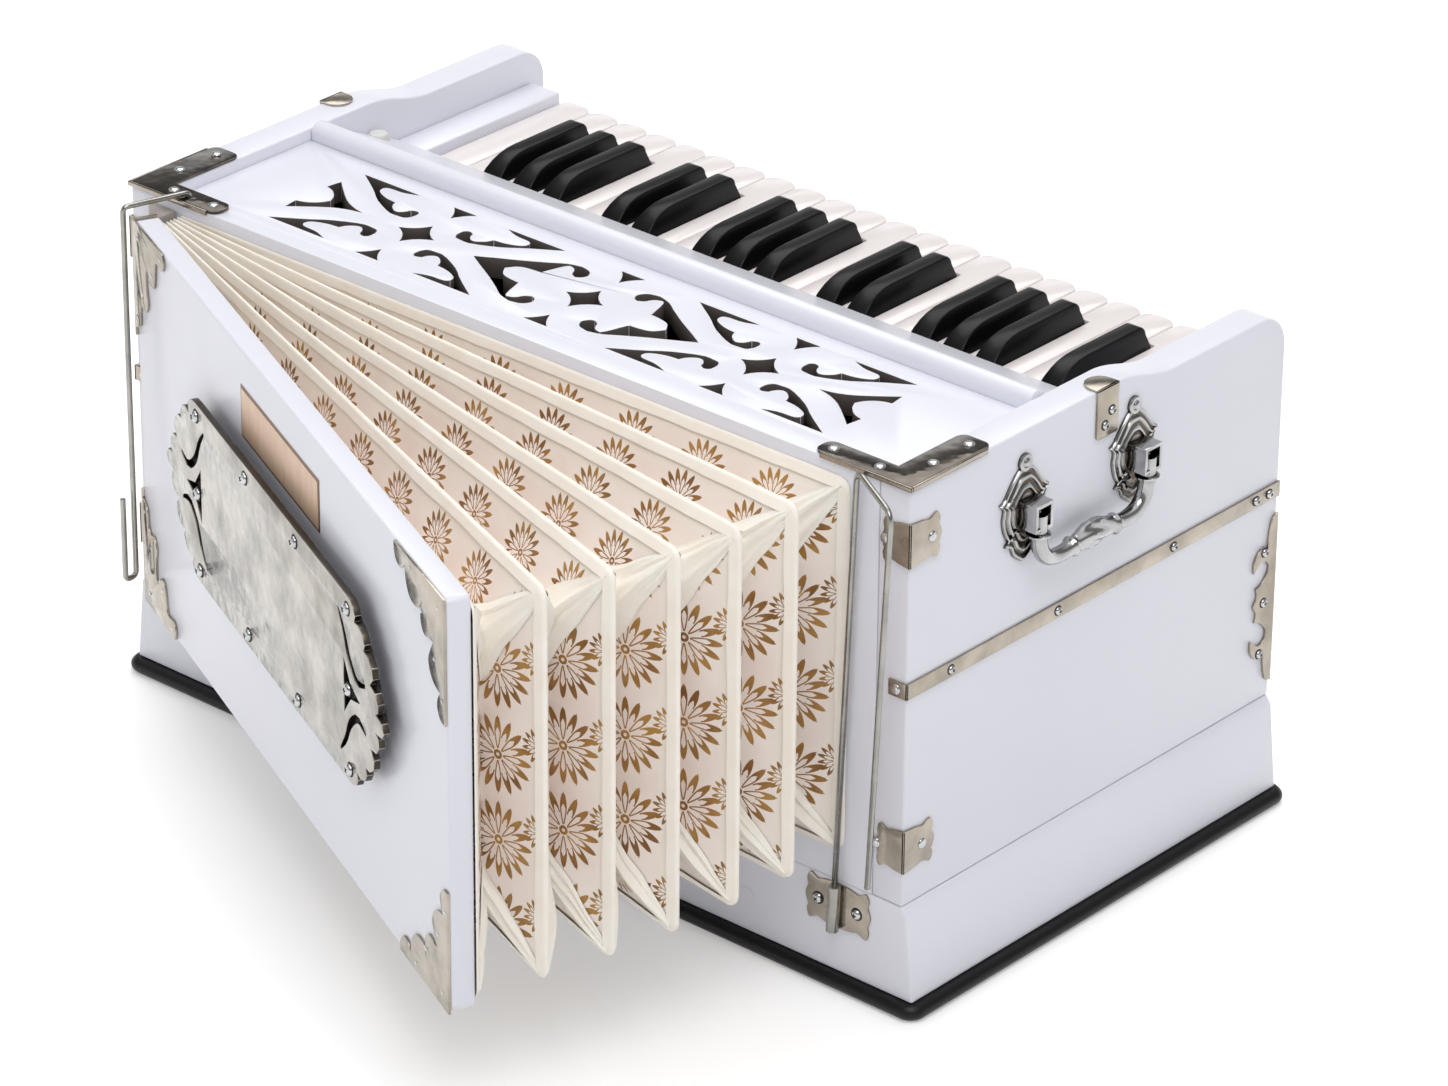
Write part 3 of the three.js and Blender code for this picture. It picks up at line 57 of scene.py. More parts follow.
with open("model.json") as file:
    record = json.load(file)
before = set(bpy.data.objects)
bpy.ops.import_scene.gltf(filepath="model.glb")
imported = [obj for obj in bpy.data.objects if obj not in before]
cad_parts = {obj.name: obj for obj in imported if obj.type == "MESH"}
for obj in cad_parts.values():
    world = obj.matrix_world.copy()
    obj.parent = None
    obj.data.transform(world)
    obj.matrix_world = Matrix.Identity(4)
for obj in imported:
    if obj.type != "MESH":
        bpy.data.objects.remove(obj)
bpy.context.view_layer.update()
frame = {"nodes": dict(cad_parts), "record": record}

# Camera, fitted to the photograph
IMAGE_WIDTH = 1448
SENSOR_WIDTH = 36
FOCAL_PIXELS = 6627
CAMERA_AZIMUTH = math.radians(41.07)
CAMERA_ELEVATION = math.radians(27.18)
CAMERA_ROLL = math.radians(0.49)
CAMERA_DISTANCE = 3600 * MM
CLIP_SHARE = 4
CAMERA_TARGET = Vector((18.7, 0, 125.4)) * MM

# Case, as in the solids
HALF_LENGTH = 275 * MM
HALF_DEPTH = 154 * MM
CASE_TOP = 302 * MM
CASE_BOTTOM = 63.6 * MM
SIDE_THICKNESS = 20 * MM
INNER_HALF = HALF_LENGTH - SIDE_THICKNESS
CHEEK_DROP = 9 * MM
CHEEK_STEP = (12 * MM, 58 * MM)
CHEEK_CORNER = 20 * MM
CURVE_STEPS = 8
CORNER_STEPS = 4
RUN_STEPS = 4
CAST_RUN_STEPS = 5
TURNED_SIDES = 20

# Rounding of edges
LINING_WALL = 0.5 * MM
BOARD_ROUND = 1.2 * MM
KEY_ROUND = 0.9 * MM
METAL_ROUND = 0.35 * MM
METAL_SEGMENTS = 2
BOARD_SEGMENTS = 3
ROUND_PROFILE = 0.5
SMOOTH_ANGLE = math.radians(35)
SHARP_ANGLE = math.radians(40)
WIRE_SMOOTH_ANGLE = math.radians(70)
FLAT_ANGLE = math.radians(1)
COPY_WELD = 0.001 * MM
PLEAT_WELD = 0.01 * MM
EDGE_MARGIN = 2 * MM
FACING_SHARE = 0.5

# Sheet-metal fittings
SHEET = 1.4 * MM
OUTER_HALF = HALF_LENGTH + SHEET
CAP_ARM = 64 * MM
CAP_FRONT_WIDTH = 14 * MM
CAP_END_ROUND = 5.5 * MM
CAP_LIP = 1.3 * MM
WRAP_HEIGHT = 25 * MM
WRAP_SIDE_REACH = 25 * MM
WRAP_FRONT_REACH = 19 * MM
UPPER_WRAP_Z = 270.5 * MM
LOWER_WRAP_Z = 96 * MM
BAND_Z = 188.5 * MM
BAND_HEIGHT = 9 * MM
BAND_FRONT_REACH = 11 * MM
KEEPER_WIDTH = 17.5 * MM
KEEPER_DROP = 27 * MM
KEEPER_Y = 1.4 * MM
KEEPER_CORNER = 2 * MM
KEEPER_TAB = 13 * MM
REAR_BRACKET_HEIGHT = 101 * MM
REAR_BRACKET_WIDTH = 20 * MM
REAR_BRACKET_Z = 123.5 * MM

# Fasteners: where each one's middle is
CAP_FRONT_RIVETS = in_mm([(219, -147), (249, -147)])
CAP_SIDE_RIVETS = in_mm([(266, -126), (266, -98)])
SIDE_RIVETS = [(-138 * MM, UPPER_WRAP_Z), (-140.5 * MM, LOWER_WRAP_Z)]
FRONT_RIVETS = [(260 * MM, UPPER_WRAP_Z), (257.8 * MM, LOWER_WRAP_Z), (269 * MM, BAND_Z)]
BAND_SCREWS = (-120.7 * MM, -34.7 * MM, 62 * MM, 133 * MM, 144.5 * MM)
SIDE_SCREWS = [(y, BAND_Z) for y in BAND_SCREWS]
SIDE_SCREWS += in_mm([(143, 154), (143.7, 123.5), (142, 93), (4.5, 289), (-1, 282)])
RIVET_RADIUS = 3 * MM
SCREW_RADIUS = 2.4 * MM
PLATE_SCREW_RADIUS = 3.3 * MM

# Hinge cover, plug and rubber stop
HINGE_COVER = in_mm([(-262, -154.1), (-240.5, -154.1), (-240.5, -168.4), (-248, -165)])
HINGE_COVER_LOW = 72 * MM
HINGE_COVER_TOP = 296 * MM
PLUG_PLACE = (171.4 * MM, -154 * MM, 30.4 * MM)
PLUG_RADIUS = 5 * MM
PLUG_RISE = 0.3 * MM
STOP_PLACE = (-247.5 * MM, 10 * MM)
STOP_RADIUS = 6.5 * MM
STOP_HEIGHT = 14 * MM
STOP_SHARES = [(1, 0), (1, 0.7), (0.93, 0.86), (0.75, 0.96), (0.4, 1), (0.05, 1.01)]

# Handles: places as in the solids, and the sizes of the castings
HANDLE_Y = -20.5 * MM
HANDLE_AXIS_Z = 258 * MM
HANDLE_HALF_SPAN = 44.5 * MM
BAIL_STANDOFF = 10.8 * MM
ROSETTE_WIDTH = 38 * MM
ROSETTE_HEIGHT = 58 * MM
ROSETTE_SHARES = [
    [(0, 0.42), (0.12, 0.41), (0.24, 0.34), (0.35, 0.25), (0.43, 0.18), (0.52, 0.145)],
    [(0.52, 0.145), (0.44, 0.08), (0.46, -0.02), (0.42, -0.14), (0.33, -0.25)],
    [(0.33, -0.25), (0.39, -0.29), (0.27, -0.33), (0.2, -0.42), (0, -0.52)],
]
# Each ring's share of the outline and its height
ROSETTE_RINGS = [
    (1, 0), (1, 0.9 * MM), (0.97, 1.9 * MM), (0.93, 2.1 * MM), (0.89, 1.2 * MM), (0.83, 1.1 * MM),
    (0.79, 2.3 * MM), (0.73, 2.7 * MM), (0.69, 1.5 * MM), (0.62, 1.5 * MM), (0.57, 2.6 * MM),
    (0.51, 2.9 * MM), (0.46, 2.2 * MM), (0.4, 2.6 * MM), (0.3, 3.4 * MM),
]
RECESSED_RINGS = (4, 8, 11, 12)
EAR_HEIGHT = 26.5 * MM
EAR_RADIUS = 5 * MM
EAR_PROFILE = [
    (1, 0), (1, 0.36), (0.92, 0.44), (0.56, 0.42), (0.5, 0.5), (0.42, 0.62), (0.22, 0.7), (0.03, 0.72),
]
SOCKET_WIDTH = 13.5 * MM
SOCKET_HEIGHT = 15 * MM
SOCKET_FOOT = 1 * MM
SOCKET_REACH = 14.5 * MM
SOCKET_WALL = 1.8 * MM
PIN_RADIUS = 2.9 * MM
CAST_ROUND = 0.5 * MM
BAIL_DROP = 33 * MM
BAIL_RADIUS = 4 * MM
BAIL_CENTRE_RADIUS = 7.4 * MM
BAIL_SQUARENESS = 0.55
BAIL_DROP_SQUARENESS = 0.5
BAIL_EASE = 1.8
BAIL_LIFT_SHARE = 0.2
BAIL_LIFT_REACH_SHARE = 0.65
BAIL_STEPS = 120
BAIL_SIDES = 30
SWELL_REACH_SHARE = 0.24
SHOULDER_SWELL_SHARE = 0.12
KNOP_FLAT_SHARE = 0.3
WAIST_SHARE = 0.16
WAIST_REACH_SHARE = 0.07
BEAD_RISE = 1.5 * MM
BEAD_PLACE_SHARE = 0.39
BEAD_REACH_SHARE = 0.035
LEAF_DEPTH_SHARE = 0.17
LEAF_COUNT = 5
LEAF_TWIST = 9
COLLAR_DROP = 13.5 * MM
COLLAR_SHARES = [(1.05, 0), (1.15, 0.35), (1.6, 0.6), (1.65, 0.85), (1.3, 1.0), (1, 1.05)]

# Plinth and clip plate
PLINTH_BOTTOM = 9.3 * MM
PLINTH_TOP = 63.3 * MM
PLINTH_BEVEL = 5 * MM
PLINTH_SHOULDER = 3 * MM
PLINTH_FLARE = 8 * MM
CLIP_PLATE_X = 233.5 * MM
CLIP_PLATE_Z = 49 * MM
CLIP_PLATE_WIDTH = 44 * MM
CLIP_PLATE_HEIGHT = 27 * MM
CLIP_RIVET_REACH = 13 * MM
CLIP_TUBE_RADIUS = 3.4 * MM
CLIP_ROD_Y = -158.6 * MM
CLIP_LEAN = math.radians(2.36)

# Bellows and flap, as in the solids
HINGE_X = -239.5 * MM
TOUCH_GAP = 0.3 * MM
STACK = 15 * MM
OPEN_ANGLE = math.radians(26)
FLAP_LENGTH = 475 * MM
FLAP_BOTTOM = 68 * MM
FLAP_HEIGHT = 231 * MM
FLAP_THICKNESS = 13 * MM
FLAP_ROUND = 5 * MM
FLAP_BRACKET = 69 * MM
STATIONS = 12
RIDGE_RADIUS = 476 * MM
BELLOWS_BOTTOM = 73 * MM
BELLOWS_TOP = 294 * MM
PLEAT_DEPTH = 38 * MM
BELLOWS_START = 3 * MM
BOTTOM_LIFT = 9 * MM
WALL_START_SHARE = 0.1
SEGMENT_RATIO = 1.25
SEGMENT_COUNT = 9
WALL_STEPS = 6
WALL_STEP_LENGTH = 14 * MM
BINDING_WIDTH = 7.4 * MM
BINDING_NOSE = 1.6 * MM
BINDING_THICKNESS = 0.5 * MM
BINDING_CORNER = 7 * MM
BINDING_CROWN = 0.35 * MM
CROWN_SHARE = 0.4
BINDING_UNEVEN = 0.12
TOP_GUSSET_REACH = 27 * MM
BOTTOM_GUSSET_REACH = 18 * MM
GUSSET_STEPS = 12
GUSSET_RISE = 0.5 * MM
GUSSET_BULGE = 2.2 * MM
GUSSET_FOLD = 2.1 * MM
GUSSET_FOLDS = 3.5
GUSSET_RAG_SHARE = 0.2
GUSSET_SPREAD = 0.75
GUSSET_HOLD = 1.1
GUSSET_HOLD_END = 0.8
BINDING_STEPS = 8
BINDING_WAVES = 0.6
# Steps through the noise, so that no two cloth corners are alike
RAG_STEPS = (3.1, 4, 7.5)
FAN_STEPS = (5.3, 0.9, 3.7)

# Print on the bellows
PRINT_PITCH = 48 * MM
PRINT_START = 122 * MM
PRINT_DRIFT = 2.3 * MM
TOP_PRINT_DRIFT = 8 * MM
TOP_FLOWER = 16.5 * MM
TOP_FLOWER_ACROSS = 19 * MM
PLAIN_REACH = 80 * MM
BIG_FLOWER = 22 * MM
BIG_FLOWER_ACROSS = 11.5 * MM
SMALL_FLOWER = 10.5 * MM
SMALL_FLOWER_ACROSS = 37.5 * MM
SMALL_FLOWER_SHIFT = 12 * MM
LAP_ACROSS = 30.6 * MM
LAP_FADE = 0.5 * MM

# Nameplate and sticker on the flap
PLATE_FACE = 24.3 * MM
PLATE_SHEET = 4 * MM
# Behind the nameplate's face: a layer's top and bottom, and its shares of the plate's length and height
# The first layer is a black board, painted shadow under the plate; the second is a block in white paint
BACKING_LAYERS = [(4 * MM, 5.8 * MM, 0.95, 0.88), (5.8 * MM, 11.3 * MM, 0.8, 0.6)]
PLATE_MIDDLE = (247.5 * MM, 197 * MM)
PLATE_SCREW_ROW = 45.5 * MM
PLATE_SCREWS_ALONG = [-116.6 * MM, -38.5 * MM, 38.5 * MM, 116.6 * MM]
STICKER = (173.5 * MM, 293.7 * MM, 248.6 * MM, 278.5 * MM)
STICKER_THICKNESS = 0.3 * MM
STICKER_BORDER = 1.6 * MM

# Looks. A relief has its features per metre, detail, strength and depth
PEEL = (420, 3, 0.06, 0.2 * MM)
CLOTH_CREASES = (130, 3, 0.25, 0.6 * MM)
WEAVE = (1800, 3, 0.2, 0.1 * MM)
PAPER_CREASES = (90, 3, 0.15, 0.6 * MM)
# Plain noise has its features per metre and detail
PAINT_DRIFT = (7, 3)
LABEL_GRAIN = (260, 4)
METAL_DENTS = (55, 2)
METAL_DENT_DEPTH = 1.2 * MM
# Patches have their features per metre and detail, and where they begin and end in the noise
METAL_PATCHES = (45, 4, 0.35, 0.65)
METAL_SMUDGES = (160, 5, 0.3, 0.7)
CLOTH_CLOUDS = (55, 4, 0.3, 0.7)
PAPER_CLOUDS = (28, 4, 0.32, 0.68)
GILT_PATCHES = (45, 2, 0.38, 0.62)
PAINT_SHADE_SHARE = 0.95
PAINT_GLOSS = (38, 4, 0.0, 1.0)
# How far roughness goes under and over its named value
PAINT_GLOSS_LOW = -0.05
PAINT_GLOSS_HIGH = 0.08
PAINT_COAT_ROUGHNESS = 0.15
METAL_GLOSS_LOW = -0.08
METAL_GLOSS_HIGH = 0.1
# Painted shade in the recesses of castings: its reach, samples, and where it starts and ends
RECESS_REACH = 7 * MM
RECESS_SAMPLES = 8
RECESS_START = 0.4
RECESS_END = 0.97
CLOTH_SHEEN = 0.2
PAPER_DARK = (0.92, 0.81, 0.75, 1)
PAPER_LIGHT = (0.97, 0.90, 0.85, 1)
LAP_TONE = (0.94, 0.88, 0.78, 1)
LAP_SHARE = 0.6
INK_DARK = (0.23, 0.10, 0.02, 1)
INK_LIGHT = (0.45, 0.24, 0.06, 1)
PAPER_ROUGHNESS = 0.6
INK_ROUGHNESS = 0.42
LABEL_STRETCH = (1, 1, 0.2)
LABEL_DARK = (0.62, 0.40, 0.26, 1)
LABEL_LIGHT = (0.80, 0.62, 0.46, 1)
LABEL_ROUGHNESS = 0.35
LABEL_METALLIC = 0.35

# Paints: colour, roughness, coat and specular level
PAINTS = {
    "white_paint": ((0.80, 0.805, 0.88, 1), 0.34, 0.25, 0.5),
    "black_paint": ((0.004, 0.004, 0.005, 1), 0.4, 0.05, 0.3),
    "fret_stain": ((0.12, 0.10, 0.09, 1), 0.6, 0.0, 0.5),
    # Black for painted shade: screw slots, socket insides, the gap behind the nameplate, the case's
    # inside
    "dark_inside": ((0.012, 0.01, 0.009, 1), 0.7, 0.0, 0.5),
    "white_key": ((0.86, 0.80, 0.79, 1), 0.2, 0.5, 0.5),
    "black_key": ((0.003, 0.003, 0.003, 1), 0.28, 0.0, 0.2),
    "label_border": ((0.16, 0.07, 0.03, 1), 0.4, 0.25, 0.5),
}
# Metals: colour, roughness, strength of the dents, tone share of the patches and, for castings,
# the colour of the painted shade in recesses
METALS = {
    "nickel": ((0.46, 0.41, 0.345, 1), 0.2, 0.35, 0.7, None),
    "nameplate_steel": ((0.47, 0.445, 0.405, 1), 0.2, 1.0, 0.62, None),
    # Near-black metal for the nameplate's edges: painted shade
    "plate_edge": ((0.09, 0.075, 0.06, 1), 0.35, 0.2, 0.75, None),
    "dark_steel": ((0.16, 0.14, 0.12, 1), 0.13, 0.7, 0.4, None),
    "chrome": ((0.54, 0.54, 0.54, 1), 0.1, 0.25, 0.7, (0.04, 0.03, 0.022, 1)),
    "fastener_steel": ((0.60, 0.61, 0.62, 1), 0.12, 0.1, 0.8, None),
    # Painted shade for the recessed rings of the handles' castings
    "tarnish": ((0.13, 0.10, 0.075, 1), 0.35, 0.5, 0.75, None),
    "wire_steel": ((0.40, 0.39, 0.36, 1), 0.2, 0.1, 0.75, None),
}
# Cloths: colour, tone of the clouds and roughness
CLOTHS = {
    "binding_cloth": ((0.99, 0.945, 0.87, 1), (0.96, 0.89, 0.79, 1), 0.75),
    "gusset_cloth": ((0.98, 0.955, 0.90, 1), (0.95, 0.90, 0.81, 1), 0.75),
    "hinge_cloth": ((0.42, 0.38, 0.35, 1), (0.33, 0.29, 0.27, 1), 0.75),
    "milky_plastic": ((0.75, 0.75, 0.74, 1), (0.6, 0.59, 0.57, 1), 0.35),
}
# Papers: where each row of flowers lies along and across the cloth, its radius and its petals
PAPERS = {
    "bellows_print": [
        ((0.0, BIG_FLOWER_ACROSS), BIG_FLOWER, 16),
        ((SMALL_FLOWER_SHIFT, SMALL_FLOWER_ACROSS), SMALL_FLOWER, 14),
    ],
    "bellows_top_print": [((0.0, TOP_FLOWER_ACROSS), TOP_FLOWER, 16)],
    "bellows_plain": [],
}

# A flower's parts, in shares of its radius, with the outline's width in shares of half a petal
PETAL_START = 0.14
PETAL_WIDTH = 2.45
TIP_START = 0.52
TIP_NOTCH = 0.3
TIP_BEHIND = 0.04
OUTLINE_WIDTH = 0.085
OUTLINE_NEAR = 0.2
OUTLINE_START = 0.15
OUTLINE_BEHIND = 0.3
OUTLINE_END = 0.94
HEART_INNER = 0.045
HEART_OUTER = 0.12

# Places of a mix node's colour sockets
MIX_FIRST = 6
MIX_SECOND = 7
MIX_RESULT = 2


def node_tools(tree):
    """Short ways to feed a socket and to add a node in a node tree."""
    def plug(sockets, key, value):
        if isinstance(value, bpy.types.NodeSocket):
            tree.links.new(value, sockets[key])
        else:
            sockets[key].default_value = value

    def node(kind, inputs=None, **settings):
        made = tree.nodes.new(kind)
        for key, value in settings.items():
            setattr(made, key, value)
        for key, value in (inputs or {}).items():
            plug(made.inputs, key, value)
        return made

    return plug, node


def new_material(name):
    """A material, with its node maker, a feed for its Principled shader and the place on the object."""
    material = bpy.data.materials.new(name)
    material.use_nodes = True
    plug, node = node_tools(material.node_tree)
    shader = material.node_tree.nodes["Principled BSDF"]

    def feed(key, value):
        plug(shader.inputs, key, value)

    return material, node, feed, node("ShaderNodeTexCoord").outputs["Object"]


def noise(node, place, scale, detail):
    """Noise at a place, in features per metre."""
    return node("ShaderNodeTexNoise", {"Vector": place, "Scale": scale, "Detail": detail}).outputs["Fac"]


def relief(node, place, scale, detail, strength, depth, under=None):
    """Shallow bumps made from noise, over other bumps if they are given."""
    inputs = {"Height": noise(node, place, scale, detail), "Strength": strength, "Distance": depth}
    if under:
        inputs["Normal"] = under
    return node("ShaderNodeBump", inputs).outputs["Normal"]


def blend_colours(node, factor, first, second):
    mixed = node("ShaderNodeMix", {0: factor, MIX_FIRST: first, MIX_SECOND: second}, data_type="RGBA")
    return mixed.outputs[MIX_RESULT]


def spread(node, value, low, high, start=0.0, end=1.0):
    """A value between start and end carried over to low and high."""
    mapped = node("ShaderNodeMapRange", {
        "Value": value, "From Min": start, "From Max": end, "To Min": low, "To Max": high,
    })
    return mapped.outputs["Result"]


def patches(node, place, scale, detail, start, end, low=0.0, high=1.0):
    """Soft-edged patches of noise, which run from low to high."""
    return spread(node, noise(node, place, scale, detail), low, high, start, end)


def shade(colour, share):
    return [channel * share for channel in colour[:3]] + [1]


def painted_wood(name, colour, roughness, coat, specular):
    """Sprayed paint: faint orange peel, slight drift of tone and gloss."""
    material, node, feed, place = new_material(name)
    drift = noise(node, place, *PAINT_DRIFT)
    feed("Base Color", blend_colours(node, drift, shade(colour, PAINT_SHADE_SHARE), colour))
    low, high = roughness + PAINT_GLOSS_LOW, roughness + PAINT_GLOSS_HIGH
    feed("Roughness", patches(node, place, *PAINT_GLOSS, low, high))
    feed("Normal", relief(node, place, *PEEL))
    feed("Coat Weight", coat)
    feed("Coat Roughness", PAINT_COAT_ROUGHNESS)
    feed("Specular IOR Level", specular)
    return material


def sheet_metal(name, colour, roughness, waves, patch_share, recessed):
    """Polished metal: soft dents that bend reflections, darker patches, and painted shade in recesses
    where a colour for it is given.
    """
    material, node, feed, place = new_material(name)
    patchy = patches(node, place, *METAL_PATCHES)
    tone = blend_colours(node, patchy, shade(colour, patch_share), colour)
    if recessed:
        # Painted shade: ambient occlusion darkens the base colour in recesses
        opening = node("ShaderNodeAmbientOcclusion", {"Distance": RECESS_REACH}, samples=RECESS_SAMPLES)
        openness = spread(node, opening.outputs["AO"], 0, 1, RECESS_START, RECESS_END)
        tone = blend_colours(node, openness, recessed, tone)
    feed("Base Color", tone)
    feed("Metallic", 1.0)
    low, high = roughness + METAL_GLOSS_LOW, roughness + METAL_GLOSS_HIGH
    feed("Roughness", patches(node, place, *METAL_SMUDGES, low, high))
    feed("Normal", relief(node, place, *METAL_DENTS, waves, METAL_DENT_DEPTH))
    return material


def cloth(name, colour, dark, roughness):
    """Plain binding cloth: a fine weave, a few cloudy tones and soft creases."""
    material, node, feed, place = new_material(name)
    feed("Base Color", blend_colours(node, patches(node, place, *CLOTH_CLOUDS), dark, colour))
    feed("Roughness", roughness)
    feed("Sheen Weight", CLOTH_SHEEN)
    creases = relief(node, place, *CLOTH_CREASES)
    feed("Normal", relief(node, place, *WEAVE, under=creases))
    return material


def flower(node, along, across, centre, radius, petals):
    """A daisy repeated along the cloth: a front ring of outlined petals over a ring of filled ones."""
    def calc(operation, *values):
        made = node("ShaderNodeMath", dict(enumerate(values)), operation=operation)
        return made.outputs["Value"]

    x = calc("WRAP", calc("SUBTRACT", along, centre[0]), PRINT_PITCH / 2, -PRINT_PITCH / 2)
    y = calc("SUBTRACT", across, centre[1])
    flat = node("ShaderNodeCombineXYZ", {"X": x, "Y": y}).outputs["Vector"]
    distance = node("ShaderNodeVectorMath", {0: flat}, operation="LENGTH").outputs["Value"]
    reach = calc("DIVIDE", distance, radius)
    # How far round, counted in petals, and whether this petal is one of the ring behind
    turn = calc("MULTIPLY", calc("ARCTAN2", y, x), petals / math.tau)
    behind = calc("FLOORED_MODULO", calc("FLOOR", calc("ADD", turn, 1 / 2)), 2.0)
    off_axis = calc("MULTIPLY", calc("PINGPONG", turn, 1 / 2), 2.0)
    rise = calc("SQRT", calc("MAXIMUM", calc("SUBTRACT", reach, PETAL_START), 0.0))
    width = calc("MULTIPLY", calc("MULTIPLY", rise, calc("SUBTRACT", 1.0, reach)), PETAL_WIDTH)
    inside = calc("LESS_THAN", off_axis, width)
    notch = calc("MULTIPLY", calc("SUBTRACT", width, off_axis), TIP_NOTCH)
    fill_from = calc("SUBTRACT", calc("ADD", TIP_START, notch), calc("MULTIPLY", behind, TIP_BEHIND))
    tip = calc("MULTIPLY", inside, calc("GREATER_THAN", reach, fill_from))
    margin = calc("DIVIDE", OUTLINE_WIDTH, calc("MAXIMUM", reach, OUTLINE_NEAR))
    edge = calc("LESS_THAN", calc("ABSOLUTE", calc("SUBTRACT", off_axis, width)), margin)
    edge = calc("MULTIPLY", edge, calc("LESS_THAN", reach, OUTLINE_END))
    edge_from = calc("ADD", OUTLINE_START, calc("MULTIPLY", behind, OUTLINE_BEHIND))
    edge = calc("MULTIPLY", edge, calc("GREATER_THAN", reach, edge_from))
    heart = calc("GREATER_THAN", reach, HEART_INNER)
    heart = calc("MULTIPLY", calc("LESS_THAN", reach, HEART_OUTER), heart)
    return calc("MAXIMUM", calc("MAXIMUM", tip, edge), heart)


def printed_cloth(name, flowers):
    """Pale pink bellows paper, with rows of traditional daisies in golden brown."""
    material, node, feed, place = new_material(name)
    laid = node("ShaderNodeUVMap", uv_map="print").outputs["UV"]
    axes = node("ShaderNodeSeparateXYZ", {"Vector": laid}).outputs
    paper = blend_colours(node, patches(node, place, *PAPER_CLOUDS), PAPER_DARK, PAPER_LIGHT)
    lap = spread(node, axes["Y"], 0, LAP_SHARE, LAP_ACROSS, LAP_ACROSS + LAP_FADE)
    paper = blend_colours(node, lap, paper, LAP_TONE)
    feed("Roughness", PAPER_ROUGHNESS)
    if flowers:
        ink = 0.0
        for centre, radius, petals in flowers:
            row = flower(node, axes["X"], axes["Y"], centre, radius, petals)
            ink = node("ShaderNodeMath", {0: row, 1: ink}, operation="MAXIMUM").outputs["Value"]
        brown = blend_colours(node, patches(node, place, *GILT_PATCHES), INK_DARK, INK_LIGHT)
        paper = blend_colours(node, ink, paper, brown)
        feed("Roughness", spread(node, ink, PAPER_ROUGHNESS, INK_ROUGHNESS))
    feed("Base Color", paper)
    feed("Normal", relief(node, place, *PAPER_CREASES))
    return material


def label_face(name):
    """A bare copper-coloured label with a fine brushed grain."""
    material, node, feed, place = new_material(name)
    drawn_out = node("ShaderNodeVectorMath", {0: place, 1: LABEL_STRETCH}, operation="MULTIPLY")
    grain = noise(node, drawn_out.outputs["Vector"], *LABEL_GRAIN)
    feed("Base Color", blend_colours(node, grain, LABEL_DARK, LABEL_LIGHT))
    feed("Roughness", LABEL_ROUGHNESS)
    feed("Metallic", LABEL_METALLIC)
    return material


looks = {"label_face": label_face("label_face")}
for table, make in ((PAINTS, painted_wood), (METALS, sheet_metal), (CLOTHS, cloth)):
    for look_name, values in table.items():
        looks[look_name] = make(look_name, *values)
for look_name, flower_rows in PAPERS.items():
    looks[look_name] = printed_cloth(look_name, flower_rows)


def make_object(name, work, materials, smooth_angle=SMOOTH_ANGLE):
    """Turns a drawing into an object of the scene. The materials are names of looks."""
    mesh = bpy.data.meshes.new(name)
    work.to_mesh(mesh)
    work.free()
    for material in materials:
        mesh.materials.append(looks[material])
    mesh.shade_smooth()
    mesh.set_sharp_from_angle(angle=smooth_angle)
    piece = bpy.data.objects.new(name, mesh)
    bpy.context.scene.collection.objects.link(piece)
    return piece


def round_edges(work, width, segments):
    """Rounds every edge where two faces meet at more than the sharp angle."""
    sharp = [
        edge for edge in work.edges
        if len(edge.link_faces) == 2 and edge.calc_face_angle() > SHARP_ANGLE
    ]
    bmesh.ops.bevel(
        work, geom=sharp, offset=width, offset_type="OFFSET", segments=segments, profile=ROUND_PROFILE,
        affect="EDGES", clamp_overlap=True,
    )


def finish_piece(
    name, work, materials, body, replaced=(), width=0.0, segments=METAL_SEGMENTS,
    smooth_angle=SMOOTH_ANGLE,
):
    """Rounds a drawing's edges, makes its object, and has it ride with a body."""
    bmesh.ops.recalc_face_normals(work, faces=work.faces)
    if width:
        round_edges(work, width, segments)
    piece = make_object(name, work, materials, smooth_angle)
    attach(piece, body)
    if replaced:
        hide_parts(*replaced)
    return piece


def rounded_copy(
    node_name, body, materials, width, choose=None, smooth_angle=SMOOTH_ANGLE, reshape=None,
):
    """A solid's own shape with rounded edges. choose(face) picks a face's material."""
    work = bmesh.new()
    work.from_mesh(frame["nodes"][node_name].data)
    if reshape:
        reshape(work)
    bmesh.ops.remove_doubles(work, verts=work.verts, dist=COPY_WELD)
    bmesh.ops.dissolve_limit(work, angle_limit=FLAT_ANGLE, verts=work.verts, edges=work.edges)
    for face in work.faces:
        face.material_index = choose(face) if choose else 0
    name = node_name + "_finished"
    return finish_piece(name, work, materials, body, (node_name,), width, smooth_angle=smooth_angle)


def finish_board(name, work, body, replaced):
    finish_piece(name, work, ["white_paint"], body, (replaced,), BOARD_ROUND, BOARD_SEGMENTS)


# How a drawing's two directions and its height lie in the model
def on_floor(a, b, height):
    return Vector((a, b, height))


def on_front(a, b, height):
    return Vector((a, -height, b))


def on_side(a, b, height):
    return Vector((height, a, b))


def skin(work, rings, index=0):
    """A solid through rings of points, with a lid at each end. Returns the lids and then the walls."""
    rings = [[work.verts.new(point) for point in ring] for ring in rings]
    faces = [work.faces.new(rings[0][::-1]), work.faces.new(rings[-1])]
    for lower, upper in zip(rings, rings[1:]):
        for i in range(len(lower)):
            j = (i + 1) % len(lower)
            faces.append(work.faces.new((lower[i], lower[j], upper[j], upper[i])))
    for face in faces:
        face.material_index = index
    return faces


def prism(work, outline, low, high, lay, index=0):
    """A flat drawing given thickness."""
    return skin(work, [[lay(a, b, height) for a, b in outline] for height in (low, high)], index)


def rectangle(a0, a1, b0, b1):
    return [(a0, b0), (a1, b0), (a1, b1), (a0, b1)]


def block(work, x0, x1, y0, y1, z0, z1):
    return prism(work, rectangle(x0, x1, y0, y1), z0, z1, on_floor)


def arc(centre, radius, start, end, steps=CURVE_STEPS):
    points = []
    for step in range(steps + 1):
        angle = start + (end - start) * step / steps
        points.append((centre[0] + radius * math.cos(angle), centre[1] + radius * math.sin(angle)))
    return points


